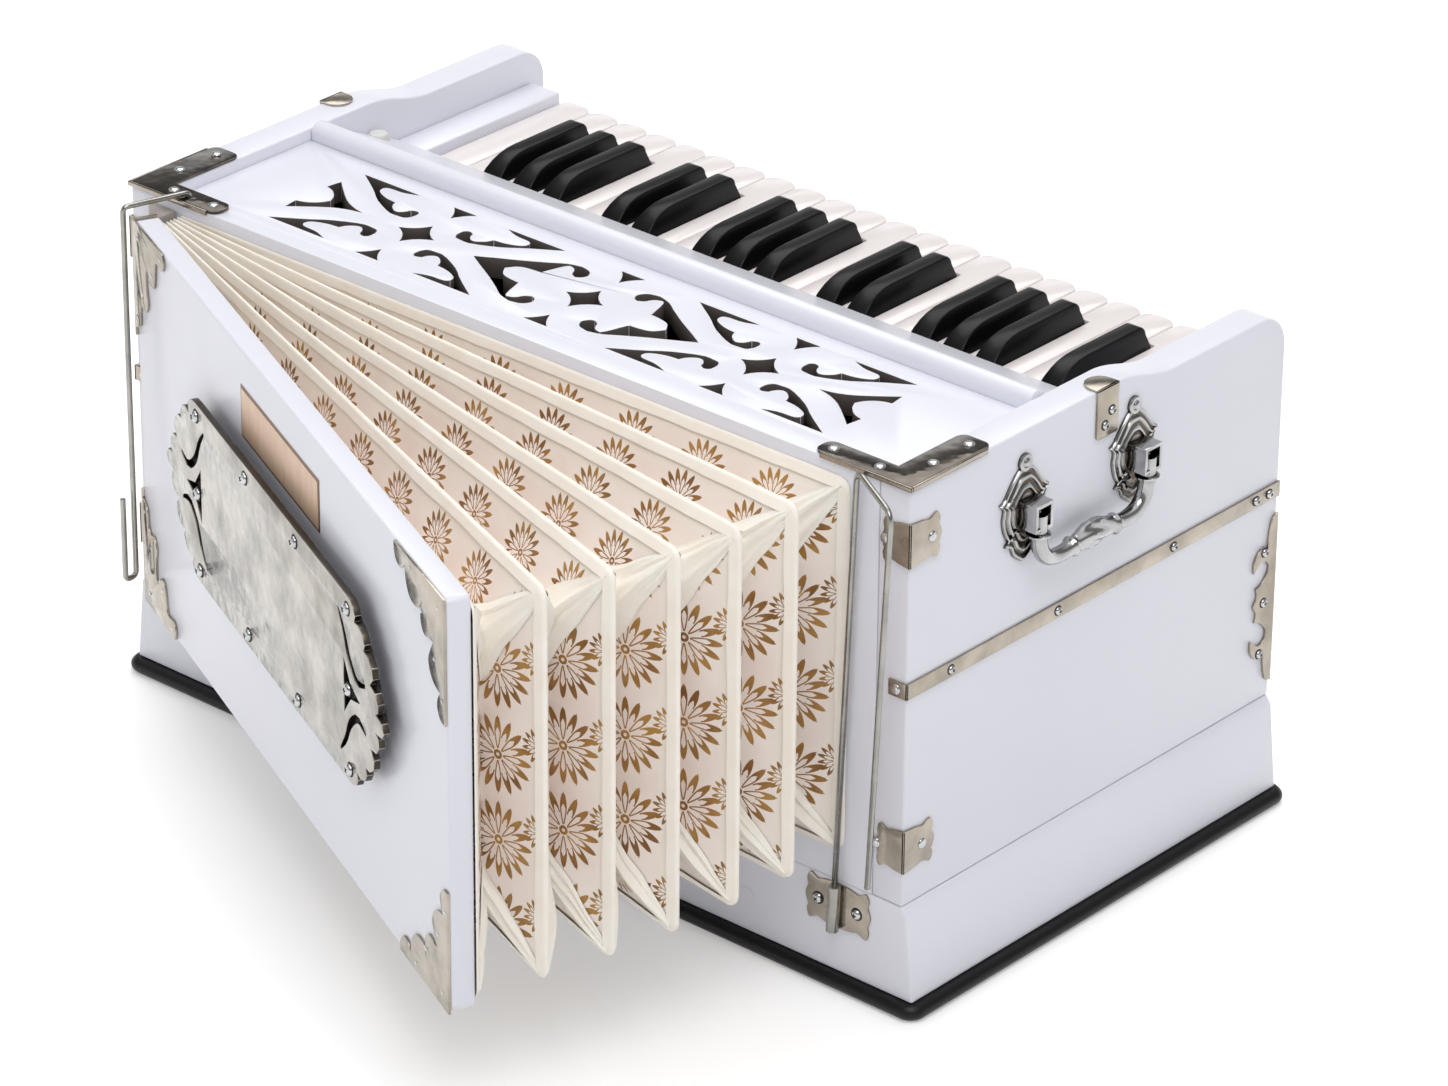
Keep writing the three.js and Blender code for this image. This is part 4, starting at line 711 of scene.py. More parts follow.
def curve_through(runs, scale_a, scale_b, steps=RUN_STEPS):
    """A closed outline from runs of points. Runs of two are straight and longer ones are smooth."""
    outline = []
    for run in runs:
        if len(run) == 2:
            outline.append((run[0][0] * scale_a, run[0][1] * scale_b))
            continue
        for i in range(len(run) - 1):
            before = run[max(i - 1, 0)]
            after = run[min(i + 2, len(run) - 1)]
            for step in range(steps):
                t = step / steps
                point = []
                for axis, scale in ((0, scale_a), (1, scale_b)):
                    p0, p1, p2, p3 = before[axis], run[i][axis], run[i + 1][axis], after[axis]
                    # A Catmull-Rom curve from p1 to p2
                    bend = p2 - p0 + t * (2 * p0 - 5 * p1 + 4 * p2 - p3 + t * (3 * (p1 - p2) + p3 - p0))
                    point.append((p1 + t / 2 * bend) * scale)
                outline.append(tuple(point))
    return outline


def flip(outline, sign_a=1, sign_b=1):
    return [(a * sign_a, b * sign_b) for a, b in outline]


def shift(outline, a0, b0):
    return [(a + a0, b + b0) for a, b in outline]


def revolve(work, profile, origin, axis, index=0):
    """A turned shape. The profile is pairs of radius and height, from the foot to the top."""
    axis = Vector(axis).normalized()
    side = axis.orthogonal().normalized()
    over = axis.cross(side)
    spokes = []
    for i in range(TURNED_SIDES):
        angle = math.tau * i / TURNED_SIDES
        spokes.append(side * math.cos(angle) + over * math.sin(angle))
    rings = []
    for radius, height in profile:
        middle = Vector(origin) + axis * height
        rings.append([middle + spoke * radius for spoke in spokes])
    skin(work, rings, index)


def scaled(shares, radius, rise=1):
    """A profile in shares of its radius, carried over to real sizes."""
    return [(r * radius, h * radius * rise) for r, h in shares]


DOME_SHARES = [(1, 0), (1, 0.12), (0.95, 0.3), (0.82, 0.5), (0.6, 0.66), (0.32, 0.76), (0.05, 0.79)]
# A flat black ring round a screw head's foot: a painted shadow
SEAT_SHARES = [(1.22, 0), (1.22, 0.06), (0.9, 0.07)]
RIVET_RISE_SHARE = 0.55
CROSS_SHARE = 0.42
CROSS_WIDTH_SHARE = 0.12
CROSS_HEIGHT_SHARE = 0.8
CROSS_SPIN = 0.9  # radians from one screw's cross to the next


def add_heads(name, body, places, axis, radius, crossed=True):
    """Domed screw heads with a black cross on the crown, painted shade for the slots, and a black ring
    round the foot, a painted shadow; or plain flatter rivets.
    """
    work = bmesh.new()
    profile = scaled(DOME_SHARES, radius, 1 if crossed else RIVET_RISE_SHARE)
    axis = Vector(axis).normalized()
    side = axis.orthogonal().normalized()
    for count, place in enumerate(places):
        revolve(work, profile, place, axis)
        if not crossed:
            continue
        # A black ring round the head's foot: painted shadow
        revolve(work, scaled(SEAT_SHARES, radius), place, axis, 1)
        spin = Matrix.Rotation(count * CROSS_SPIN, 3, axis)
        top = Vector(place) + axis * radius * CROSS_HEIGHT_SHARE
        # A black cross on the crown: painted shade in the slots
        for turn in (0, math.pi / 2):
            arm = Matrix.Rotation(turn, 3, axis) @ spin @ side * radius
            across = axis.cross(arm) * CROSS_WIDTH_SHARE
            arm = arm * CROSS_SHARE
            corners = [arm + across, across - arm, -arm - across, arm - across]
            skin(work, [[middle + corner for corner in corners] for middle in (Vector(place), top)], 1)
    return finish_piece(name, work, ["fastener_steel", "dark_inside"], body)


EAR_SHARES = [
    [(0, -0.5), (0.4, -0.46), (0.62, -0.42), (0.86, -0.5), (0.94, -0.34), (0.9, -0.22)],
    [(0.9, -0.22), (0.99, 0), (0.9, 0.22)],
    [(0.9, 0.22), (0.94, 0.36), (0.84, 0.5), (0.62, 0.42), (0.4, 0.46), (0, 0.5)],
    [(0, 0.5), (0, -0.5)],
]
REAR_BRACKET_LOWER_SHARES = [
    [(1, -0.5), (0.75, -0.48), (0.62, -0.38), (0.6, -0.3)],
    [(0.6, -0.3), (0.3, -0.33), (0.02, -0.27), (0.02, -0.2)],
    [(0.02, -0.2), (0.35, -0.25), (0.6, -0.23), (0.66, -0.18), (0.4, -0.12), (0.14, -0.1)],
]
REAR_BRACKET_SHARES = [
    *REAR_BRACKET_LOWER_SHARES,
    [(0.14, -0.1), (0.2, -0.05), (0.06, 0), (0.2, 0.05), (0.14, 0.1)],
    *[flip(run[::-1], 1, -1) for run in REAR_BRACKET_LOWER_SHARES[::-1]],
    [(1, 0.5), (1, -0.5)],
]


def side_outline():
    rear_top = CASE_TOP - CHEEK_DROP
    start, end = CHEEK_STEP
    outline = [(-HALF_DEPTH, CASE_BOTTOM), (HALF_DEPTH, CASE_BOTTOM)]
    outline += arc((HALF_DEPTH - CHEEK_CORNER, rear_top - CHEEK_CORNER), CHEEK_CORNER, 0, math.pi / 2)
    for step in range(CURVE_STEPS * 2 + 1):
        t = step / (CURVE_STEPS * 2)
        eased = t * t * (3 - 2 * t)
        outline.append((end + (start - end) * t, rear_top + CHEEK_DROP * eased))
    outline.append((-HALF_DEPTH, CASE_TOP))
    return outline


def mirrored_lay(lay, sign):
    """The same laying of a drawing, seen in a mirror across the case when sign is -1."""
    def laid(a, b, height):
        point = lay(a, b, height)
        return Vector((point.x * sign, point.y, point.z))
    return laid


def add_fitting(name, work, materials=("nickel",), body="case"):
    """A small screwed-on piece, with lightly rounded edges."""
    finish_piece(name, work, materials, body, width=METAL_ROUND)


def add_cap(name, floor_lay):
    """The corner cap on the case's top edge, with a turned-down lip on its two outer edges."""
    cap = bmesh.new()
    arm_end = -HALF_DEPTH + CAP_ARM
    cap_end = HALF_LENGTH - CAP_ARM
    inner_y = -HALF_DEPTH + CAP_FRONT_WIDTH
    r = CAP_END_ROUND
    outline = [(HALF_LENGTH, -HALF_DEPTH)]
    outline += arc((HALF_LENGTH - r, arm_end - r), r, 0, math.pi / 2)
    outline += arc((INNER_HALF + r, arm_end - r), r, math.pi / 2, math.pi)
    outline.append((INNER_HALF, inner_y))
    outline += arc((cap_end + r, inner_y - r), r, math.pi / 2, math.pi)
    outline += arc((cap_end + r, -HALF_DEPTH + r), r, math.pi, math.pi * 3 / 2)
    prism(cap, outline, CASE_TOP, CASE_TOP + SHEET, floor_lay)
    lips = [
        (cap_end + r, OUTER_HALF, -HALF_DEPTH - SHEET, -HALF_DEPTH),
        (HALF_LENGTH, OUTER_HALF, -HALF_DEPTH, arm_end - r),
    ]
    # The lips are lighter nickel beside the cap's dark steel top: a painted highlight on the folded edge
    for lip in lips:
        prism(cap, rectangle(*lip), CASE_TOP - CAP_LIP, CASE_TOP + SHEET, floor_lay, 1)
    add_fitting(f"{name}_cap", cap, ["dark_steel", "nickel"])


def add_keeper(name, side_lay, floor_lay):
    """The lid's keeper: a leaf down the side and a round-ended tab over the top."""
    keeper = bmesh.new()
    half, r = KEEPER_WIDTH / 2, KEEPER_CORNER
    low = CASE_TOP - KEEPER_DROP
    leaf = [(KEEPER_Y + half, CASE_TOP + SHEET), (KEEPER_Y - half, CASE_TOP + SHEET)]
    leaf += arc((KEEPER_Y - half + r, low + r), r, math.pi, math.pi * 3 / 2, CORNER_STEPS)
    leaf += arc((KEEPER_Y + half - r, low + r), r, -math.pi / 2, 0, CORNER_STEPS)
    prism(keeper, leaf, HALF_LENGTH, OUTER_HALF, side_lay)
    tab = [(OUTER_HALF, KEEPER_Y - half), (OUTER_HALF, KEEPER_Y + half)]
    tab += arc((HALF_LENGTH - KEEPER_TAB + half, KEEPER_Y), half, math.pi / 2, math.pi * 3 / 2)
    prism(keeper, tab, CASE_TOP, CASE_TOP + SHEET, floor_lay)
    add_fitting(f"{name}_keeper", keeper)


def add_side_fasteners(name, sign):
    """Crossed screws on the side, and plain rivets on the side, front and top."""
    sides = [(sign * OUTER_HALF, y, z) for y, z in SIDE_SCREWS]
    add_heads(f"{name}_side_screws", "case", sides, (sign, 0, 0), SCREW_RADIUS)
    sides = [(sign * OUTER_HALF, y, z) for y, z in SIDE_RIVETS]
    fronts = [(sign * x, -HALF_DEPTH - SHEET, z) for x, z in FRONT_RIVETS]
    tops = [(sign * x, y, CASE_TOP + SHEET) for x, y in CAP_FRONT_RIVETS + CAP_SIDE_RIVETS]
    rivets = {
        "side": (sides, (sign, 0, 0)),
        "front": (fronts, (0, -1, 0)),
        "cap": (tops, (0, 0, 1)),
    }
    for kind, (places, axis) in rivets.items():
        add_heads(f"{name}_{kind}_rivets", "case", places, axis, RIVET_RADIUS, crossed=False)


def add_side(name, sign):
    """A side board in paint, and its screwed-on metal."""
    side_lay = mirrored_lay(on_side, sign)
    front_lay = mirrored_lay(on_front, sign)
    floor_lay = mirrored_lay(on_floor, sign)
    board = bmesh.new()
    prism(board, side_outline(), INNER_HALF, HALF_LENGTH, side_lay)
    finish_board(f"{name}_board", board, "case", name)
    add_cap(name, floor_lay)

    wraps = bmesh.new()
    for z in (UPPER_WRAP_Z, LOWER_WRAP_Z):
        ear = curve_through(EAR_SHARES, WRAP_SIDE_REACH, WRAP_HEIGHT)
        prism(wraps, shift(ear, -HALF_DEPTH - SHEET, z), HALF_LENGTH, OUTER_HALF, side_lay)
        ear = flip(curve_through(EAR_SHARES, WRAP_FRONT_REACH, WRAP_HEIGHT), -1)
        prism(wraps, shift(ear, OUTER_HALF, z), HALF_DEPTH, HALF_DEPTH + SHEET, front_lay)
    add_fitting(f"{name}_wraps", wraps)

    band = bmesh.new()
    strips = [
        (HALF_LENGTH, OUTER_HALF, -HALF_DEPTH - SHEET, HALF_DEPTH),
        (HALF_LENGTH - BAND_FRONT_REACH, OUTER_HALF, -HALF_DEPTH - SHEET, -HALF_DEPTH),
    ]
    for strip in strips:
        prism(band, rectangle(*strip), BAND_Z - BAND_HEIGHT / 2, BAND_Z + BAND_HEIGHT / 2, floor_lay)
    add_fitting(f"{name}_band", band)
    add_keeper(name, side_lay, floor_lay)

    bracket = bmesh.new()
    outline = curve_through(REAR_BRACKET_SHARES, REAR_BRACKET_WIDTH, REAR_BRACKET_HEIGHT)
    outline = shift(outline, HALF_DEPTH - REAR_BRACKET_WIDTH, REAR_BRACKET_Z)
    prism(bracket, outline, HALF_LENGTH, OUTER_HALF, side_lay)
    add_fitting(f"{name}_rear_bracket", bracket)
    add_side_fasteners(name, sign)


def add_plinth():
    """The tapered frame under the case, with the butterfly plate and tube of the clip."""
    rings = []
    shoulder = (PLINTH_SHOULDER, PLINTH_TOP - PLINTH_BEVEL)
    levels = ((PLINTH_FLARE, PLINTH_BOTTOM), shoulder, (0, PLINTH_TOP))
    for out, z in levels:
        x = HALF_LENGTH + out
        rings.append([on_floor(a, b, z) for a, b in rectangle(-x, x, -HALF_DEPTH, HALF_DEPTH)])
    work = bmesh.new()
    skin(work, rings)
    finish_board("plinth_frame", work, "case", "plinth")

    plate = bmesh.new()
    right = curve_through(EAR_SHARES, CLIP_PLATE_WIDTH / 2, CLIP_PLATE_HEIGHT)[:-1]
    left = flip(right[::-1], -1)
    butterfly = shift(right + left[:-1], CLIP_PLATE_X, CLIP_PLATE_Z)
    prism(plate, butterfly, HALF_DEPTH, HALF_DEPTH + SHEET, on_front)
    add_fitting("clip_plate", plate)
    tube = bmesh.new()
    axis = Vector((math.sin(CLIP_LEAN), 0, math.cos(CLIP_LEAN)))
    foot = Vector((CLIP_PLATE_X, CLIP_ROD_Y, CLIP_PLATE_Z)) - axis * CLIP_PLATE_HEIGHT / 2
    revolve(tube, [(CLIP_TUBE_RADIUS, 0), (CLIP_TUBE_RADIUS, CLIP_PLATE_HEIGHT)], foot, axis)
    add_fitting("clip_tube", tube, ["wire_steel"])
    places = (CLIP_PLATE_X - CLIP_RIVET_REACH, CLIP_PLATE_X + CLIP_RIVET_REACH)
    rivets = [(x, -HALF_DEPTH - SHEET, CLIP_PLATE_Z) for x in places]
    add_heads("clip_plate_rivets", "case", rivets, (0, -1, 0), RIVET_RADIUS)


# The flap's own directions: along from the hinge, outward from its face, and up
FLAP_ALONG = Vector((math.cos(OPEN_ANGLE), -math.sin(OPEN_ANGLE), 0))
FLAP_OUT = Vector((-math.sin(OPEN_ANGLE), -math.cos(OPEN_ANGLE), 0))
FLAP_ROOT = Vector((HINGE_X, -HALF_DEPTH - STACK, 0))


def on_flap(a, b, height):
    return FLAP_ROOT + FLAP_ALONG * a + FLAP_OUT * height + Vector((0, 0, b))


FLAP_BRACKET_SHARES = [
    [(0, 0), (1, 0)],
    [(1, 0), (0.99, 0.09), (0.93, 0.15), (0.84, 0.15), (0.78, 0.09)],
    [(0.78, 0.09), (0.76, 0.2), (0.7, 0.29), (0.6, 0.32), (0.5, 0.3), (0.44, 0.22)],
    [(0.44, 0.22), (0.47, 0.34), (0.45, 0.42), (0.38, 0.46), (0.3, 0.44), (0.22, 0.44)],
    [(0.22, 0.44), (0.29, 0.54), (0.32, 0.62), (0.28, 0.71), (0.2, 0.76), (0.09, 0.78)],
    [(0.09, 0.78), (0.14, 0.84), (0.15, 0.92), (0.09, 0.99), (0, 1)],
    [(0, 1), (0, 0)],
]
HINGE_BRACKET_SHARES = [
    [(0, 0), (0.73, 0)],
    [(0.73, 0), (0.76, 0.08), (0.71, 0.15), (0.61, 0.14), (0.55, 0.16), (0.53, 0.28)],
    [(0.53, 0.28), (0.5, 0.38), (0.43, 0.4), (0.37, 0.36), (0.34, 0.31), (0.3, 0.34), (0.3, 0.48)],
    [(0.3, 0.48), (0.33, 0.6), (0.27, 0.69), (0.18, 0.68), (0.13, 0.74), (0.12, 0.86), (0, 0.93)],
    [(0, 0.93), (0, 0)],
]
BRACKET_SCREW_SHARES = [(0.67, 0.07), (0.05, 0.82), (0.12, 0.12), (0.45, 0.3), (0.2, 0.56)]


def add_flap_brackets():
    """A scalloped bracket with screws on each corner of the flap, and two leaves at its hinge."""
    brackets = bmesh.new()
    screws = []
    face = FLAP_THICKNESS + SHEET
    for at_end in (0, 1):
        shares = FLAP_BRACKET_SHARES if at_end else HINGE_BRACKET_SHARES
        drawing = curve_through(shares, FLAP_BRACKET, FLAP_BRACKET)
        for at_top in (0, 1):
            signs = (-1 if at_end else 1, -1 if at_top else 1)
            corner = (at_end * FLAP_LENGTH, FLAP_BOTTOM + at_top * FLAP_HEIGHT)
            prism(brackets, shift(flip(drawing, *signs), *corner), FLAP_THICKNESS, face, on_flap)
            holes = [(a * FLAP_BRACKET, b * FLAP_BRACKET) for a, b in BRACKET_SCREW_SHARES]
            screws += [on_flap(a, b, face) for a, b in shift(flip(holes, *signs), *corner)]
    for low in (FLAP_BOTTOM, FLAP_BOTTOM + FLAP_HEIGHT - FLAP_BRACKET):
        prism(brackets, rectangle(-SHEET, 0, low, low + FLAP_BRACKET), 0, face, on_flap)
    add_fitting("flap_brackets", brackets, body="flap")
    add_heads("flap_bracket_screws", "flap", screws, FLAP_OUT, SCREW_RADIUS / 2, crossed=False)


def add_label():
    """A bare label: a dark border with a copper-coloured field on it."""
    label = bmesh.new()
    a0, a1, b0, b1 = STICKER
    inset = STICKER_BORDER
    layers = [
        (rectangle(a0, a1, b0, b1), STICKER_THICKNESS),
        (rectangle(a0 + inset, a1 - inset, b0 + inset, b1 - inset), STICKER_THICKNESS * 2),
    ]
    for index, (outline, rise) in enumerate(layers):
        prism(label, outline, FLAP_THICKNESS, FLAP_THICKNESS + rise, on_flap, index)
    finish_piece("bare_label", label, ["label_border", "label_face"], "flap")


def add_flap():
    """The flap's board with its brackets, the nameplate's screws and the label."""
    board = bmesh.new()
    r, top = FLAP_ROUND, FLAP_BOTTOM + FLAP_HEIGHT
    free_end = FLAP_LENGTH - r
    centres = [(free_end, FLAP_BOTTOM + r), (free_end, top - r), (r, top - r), (r, FLAP_BOTTOM + r)]
    outline = []
    for quarter, centre in enumerate(centres):
        start = math.pi / 2 * (quarter - 1)
        outline += arc(centre, r, start, start + math.pi / 2)
    prism(board, outline, 0, FLAP_THICKNESS, on_flap)
    finish_board("flap_panel", board, "flap", "flap_board")
    add_flap_brackets()

    heads = []
    for along in PLATE_SCREWS_ALONG:
        rows = (-PLATE_SCREW_ROW, PLATE_SCREW_ROW)
        if abs(along) > PLATE_SCREW_ROW:
            rows = (-PLATE_SCREW_ROW, 0, PLATE_SCREW_ROW)
        for row in rows:
            heads.append(on_flap(PLATE_MIDDLE[0] + along, PLATE_MIDDLE[1] + row, PLATE_FACE))
    add_heads("nameplate_screws", "flap", heads, FLAP_OUT, PLATE_SCREW_RADIUS)
    add_label()


# Bellows: even stations are ridges and odd ones are valleys, from 0 on the case to 12 on the flap
def station_point(station, s, z):
    share = station / STATIONS
    angle = OPEN_ANGLE * share
    root_y = -HALF_DEPTH - TOUCH_GAP - (STACK - TOUCH_GAP * 2) * share
    return Vector((HINGE_X + s * math.cos(angle), root_y - s * math.sin(angle), z))


def directions(station):
    """Along a station's sheet from the hinge, and across it, away from the case."""
    angle = OPEN_ANGLE * station / STATIONS
    return (
        Vector((math.cos(angle), -math.sin(angle), 0)),
        Vector((-math.sin(angle), -math.cos(angle), 0)),
    )


def body_at(ridge):
    if ridge == 0:
        return "case"
    if ridge == STATIONS:
        return "flap"
    return f"fold_{ridge // 2}"


def bottom_of(ridge):
    """The underside rises a little towards the case."""
    return BELLOWS_BOTTOM + BOTTOM_LIFT * (1 - ridge / STATIONS)


def wall_edge(ridge, valley, at_top, c):
    """Height of a pleat wall's top or bottom edge. c runs from 0 at the ridge to 1 at the valley."""
    if at_top:
        return BELLOWS_TOP - c * PLEAT_DEPTH
    return bottom_of(ridge) * (1 - c) + (bottom_of(valley) + PLEAT_DEPTH) * c


def wall_point(ridge, valley, side, along, c):
    """A point on a pleat wall, at a height on the end wall and a radius on the others."""
    if side == "right":
        outer = station_point(ridge, RIDGE_RADIUS, along)
        inner = station_point(valley, RIDGE_RADIUS - PLEAT_DEPTH, along)
        return outer.lerp(inner, c)
    point = station_point(ridge, along, 0).lerp(station_point(valley, along, 0), c)
    point.z = wall_edge(ridge, valley, side == "top", c)
    return point


def add_wall(work, uv, ridge, valley, side, near=0.0, far=0.0):
    """One printed wall of a pleat. A top or bottom wall runs between two radii."""
    width = math.hypot(PLEAT_DEPTH, half_spacing(RIDGE_RADIUS))
    length = BELLOWS_TOP - BELLOWS_BOTTOM if side == "right" else far - near
    columns = max(1, math.ceil(length / WALL_STEP_LENGTH))
    start = PRINT_START + PRINT_DRIFT * ridge if side == "right" else TOP_PRINT_DRIFT * ridge
    grid = []
    for row in range(WALL_STEPS + 1):
        c = WALL_START_SHARE + (1 - WALL_START_SHARE) * row / WALL_STEPS
        low, high = near, far
        if side == "right":
            low, high = (wall_edge(ridge, valley, at_top, c) for at_top in (False, True))
        elif far >= RIDGE_RADIUS:
            high = far - c * PLEAT_DEPTH
        line = []
        for column in range(columns + 1):
            along = low + (high - low) * column / columns
            vert = work.verts.new(wall_point(ridge, valley, side, along, c))
            line.append((vert, (along - start, (1 - c) * width)))
        grid.append(line)
    for near_line, far_line in zip(grid, grid[1:]):
        for i in range(columns):
            corners = [near_line[i], near_line[i + 1], far_line[i + 1], far_line[i]]
            face = work.faces.new([corner[0] for corner in corners])
            face.material_index = 0 if side == "right" else 1
            for loop, corner in zip(face.loops, corners):
                loop[uv].uv = corner[1]


def half_spacing(radius):
    """From a valley to its ridges, at a distance from the hinge."""
    step = OPEN_ANGLE / STATIONS
    return (STACK - TOUCH_GAP * 2) / STATIONS + radius * math.sin(step)


def add_gusset(work, ridge, valley, at_top):
    """A wrinkled cloth corner over the mitre between a pleat's end wall and its top or bottom wall."""
    inward = -1 if at_top else 1
    side = "top" if at_top else "bottom"
    reach = TOP_GUSSET_REACH if at_top else BOTTOM_GUSSET_REACH
    toward_ridge = station_point(ridge, RIDGE_RADIUS, 0) - station_point(valley, RIDGE_RADIUS, 0)
    sloping = toward_ridge.normalized() * PLEAT_DEPTH
    end_out = directions(ridge)[0]
    flat_out = Vector((0, 0, -inward))
    grid = []
    for row in range(GUSSET_STEPS + 1):
        c = WALL_START_SHARE + (1 - WALL_START_SHARE) * row / GUSSET_STEPS
        rag_place = Vector((ridge * RAG_STEPS[0] + valley, c * RAG_STEPS[1], RAG_STEPS[2] * at_top))
        ragged = 1 + GUSSET_RAG_SHARE * wobble.noise(rag_place)
        hold_round = math.sin(math.pi * min(c * GUSSET_HOLD, 1) * GUSSET_HOLD_END)
        line = []
        for column in range(-GUSSET_STEPS, GUSSET_STEPS + 1):
            g = column / GUSSET_STEPS
            away = abs(g) * reach * c ** GUSSET_SPREAD * ragged
            if g < 0:
                edge = wall_edge(ridge, valley, at_top, c)
                point = wall_point(ridge, valley, "right", edge + inward * away, c)
            else:
                point = wall_point(ridge, valley, side, RIDGE_RADIUS - c * PLEAT_DEPTH - away, c)
            # Up to the mitre the two walls' outward directions are blended
            outward = end_out.lerp(flat_out, (g + 1) / 2) * half_spacing(RIDGE_RADIUS)
            normal = (outward - sloping).normalized()
            fan_place = (g * GUSSET_FOLDS + ridge * FAN_STEPS[0], c * FAN_STEPS[1] + valley)
            fan = wobble.noise(Vector((*fan_place, FAN_STEPS[2] * at_top)))
            hold = max((1 - g ** 4) * hold_round, 0)
            lift = GUSSET_RISE + (GUSSET_BULGE * (1 - g * g) + GUSSET_FOLD * fan * 2) * hold
            line.append(work.verts.new(point + normal * max(lift, GUSSET_RISE / 2)))
        grid.append(line)
    for near, far in zip(grid, grid[1:]):
        for i in range(len(near) - 1):
            work.faces.new((near[i], near[i + 1], far[i + 1], far[i]))


def ridge_path(ridge):
    """Distance from the hinge, height and inward direction, round a ridge from bottom to top."""
    low, high = bottom_of(ridge), BELLOWS_TOP
    r = BINDING_CORNER
    straight = RIDGE_RADIUS - BINDING_THICKNESS - r
    run = straight - BELLOWS_START
    count = math.ceil(run / WALL_STEP_LENGTH)
    rise = math.ceil((high - low) / WALL_STEP_LENGTH)
    turns = [math.pi / 2 * step / CURVE_STEPS for step in range(CURVE_STEPS + 1)]
    path = [(BELLOWS_START + run * step / count, low, (0, 1)) for step in range(count)]
    for angle in turns:
        across, up = math.sin(angle), math.cos(angle)
        path.append((straight + r * across, low + r - r * up, (-across, up)))
    for step in range(1, rise):
        path.append((straight + r, low + r + (high - low - r * 2) * step / rise, (-1, 0)))
    for angle in turns:
        across, up = math.cos(angle), math.sin(angle)
        path.append((straight + r * across, high - r + r * up, (-across, -up)))
    path += [(straight - run * step / count, high, (0, -1)) for step in range(1, count + 1)]
    return path


def add_binding(ridge):
    """The cloth strip folded over a ridge. It rides with the ridge."""
    work = bmesh.new()
    along, across = directions(ridge)
    first = 0 if ridge == 0 else -BINDING_STEPS
    last = 0 if ridge == STATIONS else BINDING_STEPS
    offsets = [i / BINDING_STEPS for i in range(first, last + 1)]
    rings = []
    for count, (s, z, inward) in enumerate(ridge_path(ridge)):
        base = station_point(ridge, s, z)
        depth = along * inward[0] + Vector((0, 0, inward[1]))
        slope = math.atan2(half_spacing(s), PLEAT_DEPTH)
        ring = []
        for share in offsets:
            # Each half of the strip has its own uneven width
            place = Vector((count * BINDING_WAVES, ridge + math.copysign(1 / 2, share), 0))
            w = share * BINDING_WIDTH * (1 + BINDING_UNEVEN * wobble.noise(place))
            bent = math.hypot(w, BINDING_NOSE)
            crown = BINDING_CROWN * math.exp(-(abs(share) / CROWN_SHARE) ** 4)
            skin_rise = (BINDING_THICKNESS + crown) * w / bent
            point = base + depth * (bent - BINDING_NOSE - BINDING_THICKNESS) * math.cos(slope)
            point += across * (w * math.sin(slope) + skin_rise)
            ring.append(work.verts.new(point))
        rings.append(ring)
    for near, far in zip(rings, rings[1:]):
        for i in range(len(near) - 1):
            work.faces.new((near[i], far[i], far[i + 1], near[i + 1]))
    piece = finish_piece(f"binding_{ridge:02d}", work, ["binding_cloth"], body_at(ridge))
    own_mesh(piece)
    return piece


def make_pleat(name, work, materials):
    bmesh.ops.remove_doubles(work, verts=work.verts, dist=PLEAT_WELD)
    bmesh.ops.recalc_face_normals(work, faces=work.faces)
    return make_object(name, work, materials)


def add_valley(valley):
    """The two walls of a valley in pieces along it, and the cloth corners at its ridges."""
    ridges = (valley - 1, valley + 1)
    edges = [RIDGE_RADIUS / SEGMENT_RATIO ** i for i in range(SEGMENT_COUNT - 1)]
    edges += [PLAIN_REACH, BELLOWS_START]
    pieces = []
    for count, (far, near) in enumerate(zip(edges, edges[1:])):
        work = bmesh.new()
        uv = work.loops.layers.uv.new("print")
        for ridge in ridges:
            for side in ("top", "bottom"):
                add_wall(work, uv, ridge, valley, side, near, far)
            if count == 0:
                add_wall(work, uv, ridge, valley, "right")
        printed = near >= PLAIN_REACH
        papers = ["bellows_print", "bellows_top_print"] if printed else ["bellows_plain"] * 2
        pieces.append((make_pleat(f"pleat_{valley:02d}_{count}", work, papers), half_spacing(far)))
    gussets = bmesh.new()
    for ridge in ridges:
        for at_top in (True, False):
            add_gusset(gussets, ridge, valley, at_top)
    corner = make_pleat(f"gussets_{valley:02d}", gussets, ["gusset_cloth"])
    pieces.append((corner, half_spacing(RIDGE_RADIUS)))
    for piece, half in pieces:
        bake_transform(piece)


def add_bellows():
    """Ridges and valleys. Each fold's solid is replaced by the strip on its ridge."""
    bindings = {ridge: add_binding(ridge) for ridge in range(0, STATIONS + 1, 2)}
    for valley in range(1, STATIONS, 2):
        add_valley(valley)
    for fold in range(1, STATIONS // 2):
        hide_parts(f"bellows_fold_{fold}")


def hole_walls(node_name):
    """Tells a hole's walls, 1, from the rest of a panel, 0."""
    low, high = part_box(node_name)

    def choose(face):
        centre = face.calc_center_median()
        outside = centre.x < low[0] + EDGE_MARGIN or centre.x > high[0] - EDGE_MARGIN
        outside = outside or centre.y < low[1] + EDGE_MARGIN or centre.y > high[1] - EDGE_MARGIN
        return 0 if outside or abs(face.normal.z) > FACING_SHARE else 1

    return choose


def plate_sides(face):
    """Tells the nameplate's edges, 1, which get a near-black painted shade, from its face, 0."""
    return 0 if face.normal.dot(FLAP_OUT) > FACING_SHARE else 1


def thin_plate(work):
    """Leaves the nameplate's face where it is and brings its back forward, to a sheet's thickness."""
    back = PLATE_FACE - PLATE_SHEET
    for vert in work.verts:
        height = (vert.co - FLAP_ROOT).dot(FLAP_OUT)
        if height < back:
            vert.co += FLAP_OUT * (back - height)


